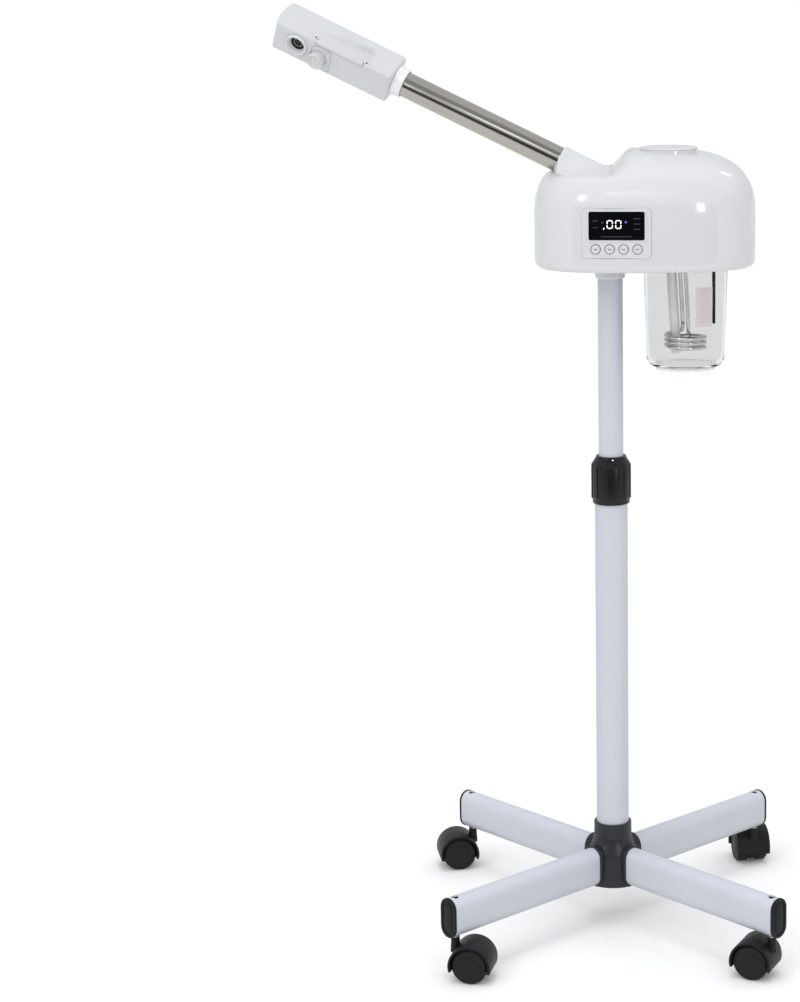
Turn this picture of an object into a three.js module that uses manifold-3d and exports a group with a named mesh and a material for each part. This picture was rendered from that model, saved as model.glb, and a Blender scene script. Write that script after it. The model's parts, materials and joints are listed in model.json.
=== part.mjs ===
// Facial steamer on a four-legged stand with twin-wheel casters.
//
// Millimetres, +Z up, the front faces -Y. The model is laid out around the column, whose
// axis is X = 0, Y = 0. The last lines move the finished group so that its origin is the
// middle of its footprint box, on the floor under the wheels.

import * as THREE from 'three';
import { mergeVertices } from 'three/addons/utils/BufferGeometryUtils.js';
import Module from 'manifold-3d';

const wasm = await Module();
wasm.setup();

// ---------------------------------------------------------------- driving dimensions
const GAP = 0.3;                  // clearance left between neighbouring pieces

// stand
const LEG_BOTTOM = 46.5;          // underside of the leg tubes
const LEG_HEIGHT = 40;            // flat-oval leg tube, upright
const LEG_WIDTH = 21;
const LEG_WALL = 1.6;
const LEG_START = 13;             // radius where a leg tube begins inside the hub
const LEG_END = 226.5;            // radius where it ends under its cap
const LEG_ANGLES = { front_left: 225, front_right: 315, back_left: 135, back_right: 45 };
const CAP_FLANGE = 2.5;           // from the end of the tube to the cap's face
const HUB_APOTHEM = 31;           // half the width across the hub's flats
const HUB_BOTTOM = 45;
const SOCKET_TOP = 110;           // rim of the socket that holds the column
const HUB_SCREW_Z = 101;          // clamping screw in the back of the socket

// casters
const CASTER_RADIUS = 219.5;      // distance of each stem from the column axis
const STEM_RADIUS = 2.9;
const NECK_RADIUS = 5.2;          // caster body's neck around the stem
const WHEEL_RADIUS = 18;
const WHEEL_WIDTH = 13.7;
const AXLE_Z = 20.6;
const WHEEL_TRAIL = 17;           // from the stem axis to the wheel axle
const WEB_WIDTH = 7.4;            // caster body between the two wheels
const WEB_DROP = 12;              // how far the web reaches below the axle
const HOOD_RADIUS = 21.3;
const CASTER_YAWS = { front_left: -10, front_right: 157, back_left: 192, back_right: 102 };

// column
const LOWER_TUBE = 16.6;          // outer radius of the fixed tube
const UPPER_TUBE = 12.5;          // outer radius of the sliding tube
const TUBE_WALL = 1.5;
const LOWER_TUBE_BOTTOM = 90.3;
const LOWER_TUBE_TOP = 452;
const UPPER_TUBE_BOTTOM = 262;
const UPPER_TUBE_TOP = 689;
const LOCK_BOTTOM = 447.3;        // twist lock collar
const LOCK_TOP = 496;
const LOCK_RADIUS = 20.6;         // over its ribs
const LOCK_RIBS = [453.5, 486.3];
const ADAPTER_BOTTOM = 675.5;

// housing: a rounded-rectangle plan, superellipse with its own centre
const HOUSING_X = 34.3;
const HOUSING_HALF_X = 109;
const HOUSING_HALF_Y = 90;
const PLAN_POWER = 3;
const SHELL_BOTTOM = 690.4;
const FLOOR_SHARE = 0.945;        // size of the base plate's opening against the plan
const PLATE_TOP = 693.6;
const WALL_TOP = 735;             // where the dome starts to curve inwards
const DOME_TOP = 803.5;
const SHOULDER = 782;             // lower saddle beside the dome, under the arm
const SHOULDER_BULGE = 0.08;      // share of the dome's rise that the shoulder keeps
const DOME_RAMP = [-1, 23];       // X where the dome starts to rise, and where it is full
const SHELL_WALL = 2.6;

// jar and what hangs in it
const JAR_X = 75;
const JAR_TOP = 703.7;
const JAR_BOTTOM = 584.7;
const JAR_TOP_RADIUS = 42.3;
const JAR_LOW_RADIUS = 39;
const JAR_WALL = 2.5;
const COIL_RADIUS = 19.8;
const COIL_TOP = 618.7;
const COIL_BOTTOM = 605.7;
const COIL_TURNS = 2.75;
const COIL_WIRE = 2.1;
const TUBE_LEAN = 3.5;            // the heater unit leans left towards its top

// control panel, set in the front of the shell
const PANEL_X = 6.3;
const PANEL_Z = 729;
const PANEL_Y = -88.2;            // outer face at the panel's middle
const PANEL_YAW = -4.8;
const PANEL_WIDTH = 66;
const PANEL_HEIGHT = 48;
const SCREEN_WIDTH = 53.2;
const SCREEN_HEIGHT = 26.8;
const SCREEN_Z = 7;               // screen centre above the panel centre
const BUTTON_PITCH = 13.4;
const BUTTON_RADIUS = 4.6;
const BUTTON_Z = -15.3;

// filler lid on the dome
const LID_X = 58;
const LID_Y = -10;
const LID_RADIUS = 28.4;
const LID_Z = 803.6;              // underside of its disc

// arm and head, laid out along the arm axis from the mouth of its socket
const ARM_MOUTH = new THREE.Vector3(-48.9, 0, 792.8);
const ARM_TILT = 25.6;            // rise above the horizontal, to the left
const ARM_TURN = 9;               // turned back from pure left
const ARM_RADIUS = 12.6;
const ARM_INSIDE = -45;
const ARM_END = 180;
const HEAD_ROLL = -35;            // the nozzle faces forward and down
const HEAD_WIDE = 38.4;           // across the top face, which ends at the nozzle face
const HEAD_DEEP = 33;             // across the nozzle face
const HEAD_START = 182.4;
const HEAD_END = 311.5;
const HEAD_WALL = 2.4;
const NECK_START = 172.2;
const NECK_FLANGE = 16;
const NOZZLE_U = 285;             // nozzle centre along the axis
const NOZZLE_V = 1.2;             // and across the nozzle face
const NOZZLE_RADIUS = 11.6;
const NOZZLE_RISE = 2.8;          // rim of the nozzle above the face
const CUP_U = 260.5;
const CUP_V = -2.3;
const CUP_RADIUS = 8.6;
const CUP_RISE = 8;
const SCOOP_START = 214;          // finger scoop along the top face
const SCOOP_END = 282;
const SCOOP_DEPTH = 4.6;          // at its deep end, by the neck
const GRIP_RADIUS = 2.7;          // bar in the edge between the top and the nozzle face
const GRIP_START = 214;
const GRIP_END = 266;

// ---------------------------------------------------------------- materials
function finish(color, roughness, metalness = 0, opacity = 1) {
  return new THREE.MeshStandardMaterial({
    color, roughness, metalness, opacity, transparent: opacity < 1,
  });
}
const glossyWhite = finish(0xdfe2e8, 0.25);
const coatedWhite = finish(0xd2d4dc, 0.45);
const blackPlastic = finish(0x2b2d30, 0.5);
const darkGrey = finish(0x33363c, 0.45);
const brushedSteel = finish(0xb9bcc0, 0.3, 1);
const clearPlastic = finish(0xe8eef2, 0.08, 0, 0.35);
const rubber = finish(0x1d1e20, 0.8);
const silicone = finish(0xd8d6cf, 0.6);
const screenBlack = finish(0x0b0c10, 0.12);
const boardGreen = finish(0x2d5a3c, 0.6);
const warmWhite = finish(0xe6e4de, 0.5);

// ---------------------------------------------------------------- geometry helpers
const rad = THREE.MathUtils.degToRad;

// Signed volume of an indexed geometry: positive when its faces point out.
function volume(geometry) {
  const p = geometry.attributes.position;
  const [a, b, c] = [new THREE.Vector3(), new THREE.Vector3(), new THREE.Vector3()];
  let total = 0;
  for (let i = 0; i < geometry.index.count; i += 3) {
    a.fromBufferAttribute(p, geometry.index.getX(i));
    b.fromBufferAttribute(p, geometry.index.getX(i + 1));
    c.fromBufferAttribute(p, geometry.index.getX(i + 2));
    total += a.dot(b.cross(c));
  }
  return total / 6;
}

// Keeps position only, merges shared vertices and turns the faces outwards.
function closed(geometry) {
  geometry.deleteAttribute('normal');
  geometry.deleteAttribute('uv');
  const merged = mergeVertices(geometry, 1e-3);
  const kept = [];
  for (let i = 0; i < merged.index.count; i += 3) {
    const face = [0, 1, 2].map((k) => merged.index.getX(i + k));
    if (new Set(face).size === 3) kept.push(...face);
  }
  merged.setIndex(kept);
  if (volume(merged) < 0) {
    for (let i = 0; i < kept.length; i += 3) [kept[i], kept[i + 1]] = [kept[i + 1], kept[i]];
    merged.setIndex(kept);
  }
  return merged;
}

function toSolid(geometry) {
  return new wasm.Manifold(new wasm.Mesh({
    numProp: 3,
    vertProperties: geometry.attributes.position.array,
    triVerts: Uint32Array.from(geometry.index.array),
  }));
}

function toGeometry(solid) {
  const mesh = solid.getMesh();
  const geometry = new THREE.BufferGeometry();
  geometry.setAttribute('position', new THREE.Float32BufferAttribute(mesh.vertProperties, 3));
  geometry.setIndex(Array.from(mesh.triVerts));
  return geometry;
}

function join(first, ...others) {
  return toGeometry(others.reduce((sum, g) => sum.add(toSolid(g)), toSolid(first)));
}

function cut(first, ...tools) {
  return toGeometry(tools.reduce((rest, g) => rest.subtract(toSolid(g)), toSolid(first)));
}

// Solid of revolution about Z from [radius, z] points.
function turned(points, segments = 24) {
  const profile = points.map(([r, z]) => new THREE.Vector2(r, z));
  return closed(new THREE.LatheGeometry(profile, segments).rotateX(Math.PI / 2));
}

// Hollow ring about Z.
function ring(outer, inner, bottom, top, segments = 24) {
  const profile = [[inner, bottom], [outer, bottom], [outer, top], [inner, top], [inner, bottom]];
  return turned(profile, segments);
}

function rod(radius, bottom, top, segments = 20) {
  return turned([[0, bottom], [radius, bottom], [radius, top], [0, top]], segments);
}

function prism(shape, depth, curveSegments = 5) {
  return closed(new THREE.ExtrudeGeometry(shape, { depth, bevelEnabled: false, curveSegments }));
}

function block(x, y, z) {
  return closed(new THREE.BoxGeometry(x, y, z));
}

// Tube of the given cross-section along a curve.
function swept(curve, shape, steps, curveSegments = 5) {
  return closed(new THREE.ExtrudeGeometry(shape, { steps, extrudePath: curve, curveSegments }));
}

function smoothCurve(points) {
  return new THREE.CatmullRomCurve3(points.map((p) => new THREE.Vector3(...p)), false, 'centripetal');
}

// Rectangle with round corners; with corner = half the short side it is a flat oval.
function roundedRectangle(width, height, corner) {
  const [x, y] = [width / 2, height / 2];
  const shape = new THREE.Shape();
  shape.absarc(x - corner, y - corner, corner, 0, Math.PI / 2);
  shape.absarc(-x + corner, y - corner, corner, Math.PI / 2, Math.PI);
  shape.absarc(-x + corner, -y + corner, corner, Math.PI, 1.5 * Math.PI);
  shape.absarc(x - corner, -y + corner, corner, 1.5 * Math.PI, 2 * Math.PI);
  return shape;
}

function disc(radius) {
  return new THREE.Shape().absarc(0, 0, radius, 0, 2 * Math.PI);
}

function discWithHole(outer, inner) {
  const shape = disc(outer);
  shape.holes.push(disc(inner));
  return shape;
}

// ---------------------------------------------------------------- scene graph
const steamer = new THREE.Group();

function addPiece(parent, name, geometry, material) {
  geometry.computeVertexNormals();
  const mesh = new THREE.Mesh(geometry, material);
  mesh.name = name;
  parent.add(mesh);
  return mesh;
}

function addGroup(parent, x = 0, y = 0, z = 0, turnZ = 0) {
  const group = new THREE.Group();
  group.position.set(x, y, z);
  group.rotation.z = turnZ;
  parent.add(group);
  return group;
}

// ---------------------------------------------------------------- stand
const LEG_MIDDLE = LEG_BOTTOM + LEG_HEIGHT / 2;

// Upright flat-oval bar along +X from one radius to another.
function ovalBar(width, height, from, to, hollow = 0) {
  const shape = roundedRectangle(height, width, width / 2);
  if (hollow) {
    const inside = width - 2 * hollow;
    shape.holes.push(roundedRectangle(height - 2 * hollow, inside, inside / 2));
  }
  const bar = prism(shape, to - from, 2);
  return bar.rotateY(Math.PI / 2).translate(from, 0, LEG_MIDDLE);
}

function hub() {
  const corner = 1 / Math.cos(Math.PI / 8);
  const outline = [[0, HUB_BOTTOM], [22, HUB_BOTTOM], [HUB_APOTHEM, 51], [HUB_APOTHEM, 81],
    [27, 88], [20.5, 93], [0, 93]];
  const body = turned(outline.map(([r, z]) => [r * corner, z]), 8).rotateZ(Math.PI / 8);
  const socket = turned([[0, 88], [24, 88], [19.8, 96], [19.6, SOCKET_TOP - 1.2],
    [18.8, SOCKET_TOP], [0, SOCKET_TOP]]);
  const bore = rod(LOWER_TUBE + GAP, LOWER_TUBE_BOTTOM - GAP, SOCKET_TOP + 5, 24);
  const pockets = Object.values(LEG_ANGLES).map((angle) => ovalBar(
    LEG_WIDTH + 2 * GAP, LEG_HEIGHT + 2 * GAP, LEG_START - GAP, 60).rotateZ(rad(angle)));
  const screwHole = rod(2.6, 0, 30, 12).rotateX(-Math.PI / 2).translate(0, 0, HUB_SCREW_Z);
  return cut(join(body, socket), bore, screwHole, ...pockets);
}

function legTube() {
  const tube = ovalBar(LEG_WIDTH, LEG_HEIGHT, LEG_START, LEG_END, LEG_WALL);
  return cut(tube, rod(STEM_RADIUS + GAP, 0, 100, 8).translate(CASTER_RADIUS, 0, 0));
}

function legCap() {
  const flange = ovalBar(LEG_WIDTH + 1.2, LEG_HEIGHT + 1.2, LEG_END + GAP, LEG_END + CAP_FLANGE);
  const fit = 2 * (LEG_WALL + GAP);
  const plug = ovalBar(LEG_WIDTH - fit, LEG_HEIGHT - fit, LEG_END - 12, LEG_END + 1, 2);
  return cut(join(flange, plug), rod(5, 0, 100, 8).translate(CASTER_RADIUS, 0, 0));
}

function casterStem() {
  const washer = LEG_BOTTOM - GAP;
  return turned([[0, 37.6], [STEM_RADIUS, 37.6], [STEM_RADIUS, washer - 1], [4.4, washer - 1],
    [4.4, washer], [STEM_RADIUS, washer], [STEM_RADIUS, 84], [0, 84]], 10);
}

// Caster body: a web between the wheels, a hood over them, the boss and the axle.
// Its own frame has the swivel axis on Z and the axle at +WHEEL_TRAIL on X.
function casterBody() {
  const inner = WHEEL_RADIUS + 0.8;
  const [low, high] = [rad(-18), rad(198)];
  const arch = new THREE.Shape();
  arch.absarc(0, 0, HOOD_RADIUS, low, high);
  arch.absarc(0, 0, inner, high, low, true);
  const hoodWidth = WEB_WIDTH + 2 * WHEEL_WIDTH + 2;
  const hood = prism(arch, hoodWidth, 6).translate(0, 0, -hoodWidth / 2);
  const web = prism(disc(inner + 1), WEB_WIDTH, 9).translate(0, 0, -WEB_WIDTH / 2);
  const axleLength = hoodWidth - 3;
  const trim = block(60, 60, 60).translate(0, -30 - WEB_DROP, 0);
  const axle = prism(disc(3), axleLength, 3).translate(0, 0, -axleLength / 2);
  const wheelFrame = join(cut(join(hood, web), trim), axle).rotateX(Math.PI / 2);
  wheelFrame.translate(WHEEL_TRAIL, 0, AXLE_Z);
  const boss = rod(NECK_RADIUS, 32, LEG_BOTTOM - 1.6, 12);
  const clearWheels = [1, -1].map((side) => prism(disc(inner), 30, 9)
    .translate(0, 0, side > 0 ? WEB_WIDTH / 2 : -WEB_WIDTH / 2 - 30)
    .rotateX(Math.PI / 2).translate(WHEEL_TRAIL, 0, AXLE_Z));
  const trimmedBoss = cut(boss, ...clearWheels);
  return cut(join(wheelFrame, trimmedBoss), rod(STEM_RADIUS + GAP, 37.2, 60, 10));
}

// Wheel with its axle hole on Z, from 0 to its width; the outer face is dished.
function wheel() {
  const r = WHEEL_RADIUS;
  const w = WHEEL_WIDTH - GAP;
  return turned([[3.4, 0], [r - 1, 0], [r, 1.5], [r, w - 1.5], [r - 1.5, w], [r - 6, w - 1.5],
    [3.4, w - 1.5], [3.4, 0]], 14);
}

function buildStand() {
  addPiece(steamer, 'hub', hub(), darkGrey);
  for (const [place, angle] of Object.entries(LEG_ANGLES)) {
    const leg = addGroup(steamer, 0, 0, 0, rad(angle));
    addPiece(leg, `leg_${place}`, legTube(), coatedWhite);
    addPiece(leg, `leg_cap_${place}`, legCap(), blackPlastic);
    const x = CASTER_RADIUS * Math.cos(rad(angle));
    const y = CASTER_RADIUS * Math.sin(rad(angle));
    const caster = addGroup(steamer, x, y, 0, rad(CASTER_YAWS[place]));
    addPiece(caster, `caster_stem_${place}`, casterStem(), brushedSteel);
    addPiece(caster, `caster_body_${place}`, casterBody(), blackPlastic);
    for (const [side, sign] of [['a', 1], ['b', -1]]) {
      const geometry = wheel().rotateX(sign > 0 ? -Math.PI / 2 : Math.PI / 2);
      geometry.translate(WHEEL_TRAIL, sign * (WEB_WIDTH / 2 + GAP), AXLE_Z);
      addPiece(caster, `wheel_${place}_${side}`, geometry, rubber);
    }
  }
}

// ---------------------------------------------------------------- column
function lockCollar() {
  const [low, high] = LOCK_RIBS;
  const profile = [[17.1, LOCK_BOTTOM], [18.6, LOCK_BOTTOM], [19.1, low - 1.2], [LOCK_RADIUS, low],
    [LOCK_RADIUS, high], [17.4, high + 4.8], [15.2, LOCK_TOP], [12.9, LOCK_TOP], [12.9, 490.5],
    [17.1, 488.5], [17.1, LOCK_BOTTOM]];
  return turned(profile, 28);
}

function collet() {
  const sleeve = turned([[12.8, 430], [14.7, 430], [14.7, LOWER_TUBE_TOP + GAP],
    [16.6, LOWER_TUBE_TOP + GAP], [16.6, 485], [15.2, 487.5], [12.8, 487.5], [12.8, 430]]);
  return cut(sleeve, block(12, 2.4, 40).translate(-15, 0, 485));
}

function mastAdapter() {
  return turned([[12.8, ADAPTER_BOTTOM], [14.2, ADAPTER_BOTTOM], [15, ADAPTER_BOTTOM + 1.4],
    [15, SHELL_BOTTOM - 0.1], [10.5, SHELL_BOTTOM - 0.1], [10.5, 708], [8.5, 708],
    [8.5, UPPER_TUBE_TOP + GAP], [12.8, UPPER_TUBE_TOP + GAP], [12.8, ADAPTER_BOTTOM]]);
}

function buildColumn() {
  const tube = (outer, bottom, top) => ring(outer, outer - TUBE_WALL, bottom, top);
  addPiece(steamer, 'lower_mast', tube(LOWER_TUBE, LOWER_TUBE_BOTTOM, LOWER_TUBE_TOP), coatedWhite);
  const screw = turned([[0, 17], [2.2, 17], [2.2, 20.1], [3.8, 20.3], [3.8, 21.8], [0, 22.2]], 12);
  addPiece(steamer, 'hub_screw', screw.rotateX(-Math.PI / 2).translate(0, 0, HUB_SCREW_Z), blackPlastic);
  addPiece(steamer, 'collet', collet(), warmWhite);
  addPiece(steamer, 'lock_collar', lockCollar(), blackPlastic);
  addPiece(steamer, 'upper_mast', tube(UPPER_TUBE, UPPER_TUBE_BOTTOM, UPPER_TUBE_TOP), coatedWhite);
  const bush = ring(14.7, UPPER_TUBE + GAP, UPPER_TUBE_BOTTOM, UPPER_TUBE_BOTTOM + 25);
  addPiece(steamer, 'mast_bush', bush, warmWhite);
  addPiece(steamer, 'mast_adapter', mastAdapter(), glossyWhite);
  const nut = cut(rod(17, PLATE_TOP + GAP, PLATE_TOP + 6, 6), rod(10.9, 680, 720, 24));
  addPiece(steamer, 'swivel_nut', nut, brushedSteel);
}

// ---------------------------------------------------------------- housing
// Moves each vertex of a unit-radius solid of revolution onto the housing's plan.
function onHousingPlan(geometry) {
  const p = geometry.attributes.position;
  for (let i = 0; i < p.count; i += 1) {
    const radius = Math.hypot(p.getX(i), p.getY(i));
    if (radius > 0) {
      const [c, s] = [p.getX(i) / radius, p.getY(i) / radius];
      const power = Math.abs(c) ** PLAN_POWER + Math.abs(s) ** PLAN_POWER;
      const reach = radius / power ** (1 / PLAN_POWER);
      p.setX(i, HOUSING_X + HOUSING_HALF_X * reach * c);
      p.setY(i, HOUSING_HALF_Y * reach * s);
    } else {
      p.setX(i, HOUSING_X);
    }
  }
  return geometry;
}

// Lowers the part of the dome left of its raised middle to the shoulder height.
function withShoulder(geometry, shoulder) {
  const p = geometry.attributes.position;
  for (let i = 0; i < p.count; i += 1) {
    const above = p.getZ(i) - shoulder;
    if (above > 0) {
      const share = THREE.MathUtils.smoothstep(p.getX(i), ...DOME_RAMP);
      p.setZ(i, shoulder + above * THREE.MathUtils.lerp(SHOULDER_BULGE, 1, share));
    }
  }
  return geometry;
}

function domeProfile(halfWidth, top, count) {
  const points = [];
  for (let i = 0; i <= count; i += 1) {
    const angle = (Math.PI / 2) * (i / count);
    const share = Math.cos(angle) ** (2 / 3);
    const rise = Math.sin(angle) ** (2 / 3);
    points.push([halfWidth * share, WALL_TOP + (top - WALL_TOP) * rise]);
  }
  points[count][0] = 0;
  return points;
}

// Frame of the arm: its Z is the arm's axis, its X points level towards the front.
function armBasis() {
  const [tilt, turn] = [rad(ARM_TILT), rad(ARM_TURN)];
  const along = new THREE.Vector3(
    -Math.cos(tilt) * Math.cos(turn), Math.cos(tilt) * Math.sin(turn), Math.sin(tilt));
  const level = new THREE.Vector3(0, 0, 1).cross(along).normalize();
  const up = along.clone().cross(level);
  return new THREE.Matrix4().makeBasis(level, up, along).setPosition(ARM_MOUTH);
}

function shell() {
  const inside = 1 - SHELL_WALL / HOUSING_HALF_Y;
  const skin = (points, shoulder) => withShoulder(onHousingPlan(turned(points, 36)), shoulder);
  const outside = skin([[0, SHELL_BOTTOM], [0.955, SHELL_BOTTOM], [0.985, 693.2], [1, 699],
    ...domeProfile(1, DOME_TOP, 7)], SHOULDER);
  const hollow = skin([[0, 680], [FLOOR_SHARE, 680], [FLOOR_SHARE, PLATE_TOP + 1], [inside, 701],
    ...domeProfile(inside, DOME_TOP - SHELL_WALL, 5)], SHOULDER - SHELL_WALL);
  const boss = rod(14.4, ARM_INSIDE - 30, 0, 28).applyMatrix4(armBasis());
  const bore = rod(ARM_RADIUS + GAP + 0.1, -90, 20, 28).applyMatrix4(armBasis());
  const panelHole = prism(roundedRectangle(PANEL_WIDTH + 2 * GAP, PANEL_HEIGHT + 2 * GAP, 5), 30, 3)
    .rotateX(Math.PI / 2).applyMatrix4(panelMatrix(-12));
  const lidHole = rod(24.6, 770, 830, 28).translate(LID_X, LID_Y, 0);
  const inletHole = block(28.6, 30, 20.6).translate(HOUSING_X, HOUSING_HALF_Y, 722);
  return cut(join(cut(outside, hollow), boss), bore, panelHole, lidHole, inletHole);
}

function basePlate() {
  const share = FLOOR_SHARE - (GAP + 0.1) / HOUSING_HALF_Y;
  const floor = onHousingPlan(turned([[0, SHELL_BOTTOM + 0.2], [share, SHELL_BOTTOM + 0.2],
    [share, PLATE_TOP], [0, PLATE_TOP]], 36));
  const jarHole = rod(43.4, 680, 700, 28).translate(JAR_X, 0, 0);
  const mastHole = rod(10.9, 680, 700, 24);
  return cut(floor, jarHole, mastHole);
}

// Frame on the front of the panel; depth moves it out along the panel's normal.
function panelMatrix(depth = 0) {
  const matrix = new THREE.Matrix4().makeRotationZ(rad(PANEL_YAW));
  const out = new THREE.Vector3(0, -depth, 0).applyMatrix4(matrix);
  return matrix.setPosition(PANEL_X + out.x, PANEL_Y + out.y, PANEL_Z);
}

function buttonPlaces() {
  return [-1.5, -0.5, 0.5, 1.5].map((step) => step * BUTTON_PITCH);
}

// Plate in the panel frame: outline in X and Z, its front at the given depth.
function plate(shape, depth, front) {
  return prism(shape, depth, 3).rotateX(Math.PI / 2).translate(0, depth - front, 0);
}

function buildControls() {
  const panel = new THREE.Group();
  panel.applyMatrix4(panelMatrix());
  steamer.add(panel);
  const body = plate(roundedRectangle(PANEL_WIDTH, PANEL_HEIGHT, 4.7), 3, 0);
  const opening = plate(roundedRectangle(SCREEN_WIDTH + 2 * GAP, SCREEN_HEIGHT + 2 * GAP, 2), 12, 4)
    .translate(0, 0, SCREEN_Z);
  const holes = buttonPlaces().map((x) => plate(disc(BUTTON_RADIUS + GAP), 12, 4)
    .translate(x, 0, BUTTON_Z));
  addPiece(panel, 'control_panel', cut(body, opening, ...holes), glossyWhite);
  const screen = plate(roundedRectangle(SCREEN_WIDTH, SCREEN_HEIGHT, 1.8), 2, -0.3);
  addPiece(panel, 'display_window', screen.translate(0, 0, SCREEN_Z), screenBlack);
  buttonPlaces().forEach((x, i) => {
    const button = plate(disc(BUTTON_RADIUS), 4, 0.6).translate(x, 0, BUTTON_Z);
    addPiece(panel, `button_${i + 1}`, button, glossyWhite);
  });
  const board = plate(roundedRectangle(PANEL_WIDTH - 6, PANEL_HEIGHT - 6, 2), 1.6, -5);
  addPiece(panel, 'control_board', board, boardGreen);
}

// ---------------------------------------------------------------- jar and heater
function jar() {
  const slope = (z) => THREE.MathUtils.mapLinear(z, 596, 700, JAR_LOW_RADIUS, 42.1);
  return turned([[0, JAR_BOTTOM], [29.5, JAR_BOTTOM], [29.5, 586.4], [34.5, 586.8], [37.8, 590.4],
    [JAR_LOW_RADIUS, 596], [slope(650), 650], [JAR_TOP_RADIUS, JAR_TOP],
    [JAR_TOP_RADIUS - JAR_WALL, JAR_TOP], [slope(650) - JAR_WALL, 650],
    [JAR_LOW_RADIUS - JAR_WALL, 597], [33, 590.4], [0, 590.2]], 28)
    .translate(JAR_X, 0, 0);
}

function heatingCoil() {
  const points = [[-6.8, 0, 705.7], [-4.4, 0, 660], [-2.8, 0, 630], [-2.4, 6, 623.5]];
  const count = 30;
  for (let i = 0; i <= count; i += 1) {
    const share = i / count;
    const angle = Math.PI / 2 + share * COIL_TURNS * 2 * Math.PI;
    points.push([COIL_RADIUS * Math.cos(angle), COIL_RADIUS * Math.sin(angle),
      COIL_TOP + share * (COIL_BOTTOM - COIL_TOP)]);
  }
  points.push([13, 9, 604], [7, 8, 603.5], [3.8, 3, 607], [3.4, 0, 616], [1.2, 0, 660],
    [-1.2, 0, 705.7]);
  return swept(smoothCurve(points), disc(COIL_WIRE), 60, 3).translate(JAR_X, 0, 0);
}

function buildJar() {
  addPiece(steamer, 'jar', jar(), clearPlastic);
  addPiece(steamer, 'jar_seal', ring(42, 38.6, JAR_TOP + GAP, 706, 28).translate(JAR_X, 0, 0), silicone);
  const collar = ring(50, 42.9, PLATE_TOP + GAP, 706, 28);
  addPiece(steamer, 'jar_collar', collar.translate(JAR_X, 0, 0), blackPlastic);
  const flange = cut(rod(47, 706 + GAP, 711, 28), rod(8, 700, 720, 20).translate(-4, 20, 0));
  addPiece(steamer, 'heater_flange', flange.translate(JAR_X, 0, 0), blackPlastic);
  addPiece(steamer, 'heating_coil', heatingCoil(), brushedSteel);
  const tube = ring(5, 3.8, 0, 105.5, 16).rotateY(rad(-TUBE_LEAN)).translate(JAR_X - 9.2, 0, 600.4);
  addPiece(steamer, 'steam_tube', tube, brushedSteel);
  const probe = block(3, 1.6, 79).translate(JAR_X + 29, 0, 666.5);
  addPiece(steamer, 'level_probe', probe, blackPlastic);
}

// ---------------------------------------------------------------- arm and head
// Silicone elbow from the heater flange to the inner end of the arm tube.
function steamDuct() {
  const basis = armBasis();
  const onAxis = (u) => new THREE.Vector3(0, 0, u).applyMatrix4(basis).toArray();
  const points = [[JAR_X - 4, 20, 711.4], [JAR_X - 4, 20, 722], [JAR_X - 9, 18, 738],
    onAxis(ARM_INSIDE - 50), onAxis(ARM_INSIDE - 32), onAxis(ARM_INSIDE - 0.4)];
  return swept(smoothCurve(points), discWithHole(10.5, 8.2), 14, 5);
}

function lid() {
  const cap = turned([[0, 801], [22, 801], [22, 791], [23.9, 791], [23.9, LID_Z],
    [LID_RADIUS, LID_Z], [LID_RADIUS, LID_Z + 1.2], [27, LID_Z + 2.4], [0, LID_Z + 2.8]], 28);
  return cap.translate(LID_X, LID_Y, 0);
}

// The head's cross-section keeps the nozzle on its +X face and the grip scoop on +Y.
function headShell() {
  const bevel = 2.5;
  const outer = closed(new THREE.ExtrudeGeometry(
    roundedRectangle(HEAD_WIDE - 2 * bevel, HEAD_DEEP - 2 * bevel, 2), {
      depth: HEAD_END - HEAD_START - 2 * bevel, bevelSize: bevel, bevelThickness: bevel,
      bevelSegments: 2, curveSegments: 2,
    })).translate(0, 0, HEAD_START + bevel);
  const inside = roundedRectangle(HEAD_WIDE - 2 * HEAD_WALL, HEAD_DEEP - 2 * HEAD_WALL, 2.5);
  const inner = prism(inside, HEAD_END - HEAD_START - 2 * HEAD_WALL, 1)
    .translate(0, 0, HEAD_START + HEAD_WALL);
  const length = SCOOP_END - SCOOP_START;
  const slope = Math.atan2(SCOOP_DEPTH, length);
  const scoop = (extra) => prism(roundedRectangle(22 + 2 * extra, 2 * length + 2 * extra, 6), 40, 2)
    .rotateX(-Math.PI / 2).translate(2, -extra, length).rotateX(-slope)
    .translate(0, HEAD_DEEP / 2 - SCOOP_DEPTH, SCOOP_START);
  const gripGroove = rod(GRIP_RADIUS + GAP, GRIP_START - GAP, GRIP_END + GAP, 12)
    .translate(...gripMiddle(), 0);
  const gripBacking = rod(GRIP_RADIUS + GAP + HEAD_WALL, GRIP_START - 3, GRIP_END + 3, 12)
    .translate(...gripMiddle(), 0);
  const hollow = cut(inner, scoop(HEAD_WALL), gripBacking);
  const neckHole = rod(ARM_RADIUS + GAP, HEAD_START - 5, HEAD_START + 10, 32);
  const faceHole = (radius, v, u) => rod(radius, 0, 40, 24).rotateY(Math.PI / 2).translate(0, v, u);
  const nozzleHole = faceHole(8.6, NOZZLE_V, NOZZLE_U);
  const cupHole = faceHole(CUP_RADIUS + GAP, CUP_V, CUP_U);
  return cut(outer, hollow, scoop(0), gripGroove, neckHole, nozzleHole, cupHole);
}

function nozzleRing() {
  const face = HEAD_WIDE / 2;
  const rim = face + NOZZLE_RISE;
  return turned([[6.6, face - 6], [8.3, face - 6], [8.3, face + GAP], [NOZZLE_RADIUS, face + GAP],
    [NOZZLE_RADIUS, rim - 1.2], [NOZZLE_RADIUS - 1.2, rim], [NOZZLE_RADIUS - 2, rim],
    [6.6, face - 2.6], [6.6, face - 6]], 20)
    .rotateY(Math.PI / 2).translate(0, NOZZLE_V, NOZZLE_U);
}

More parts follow.
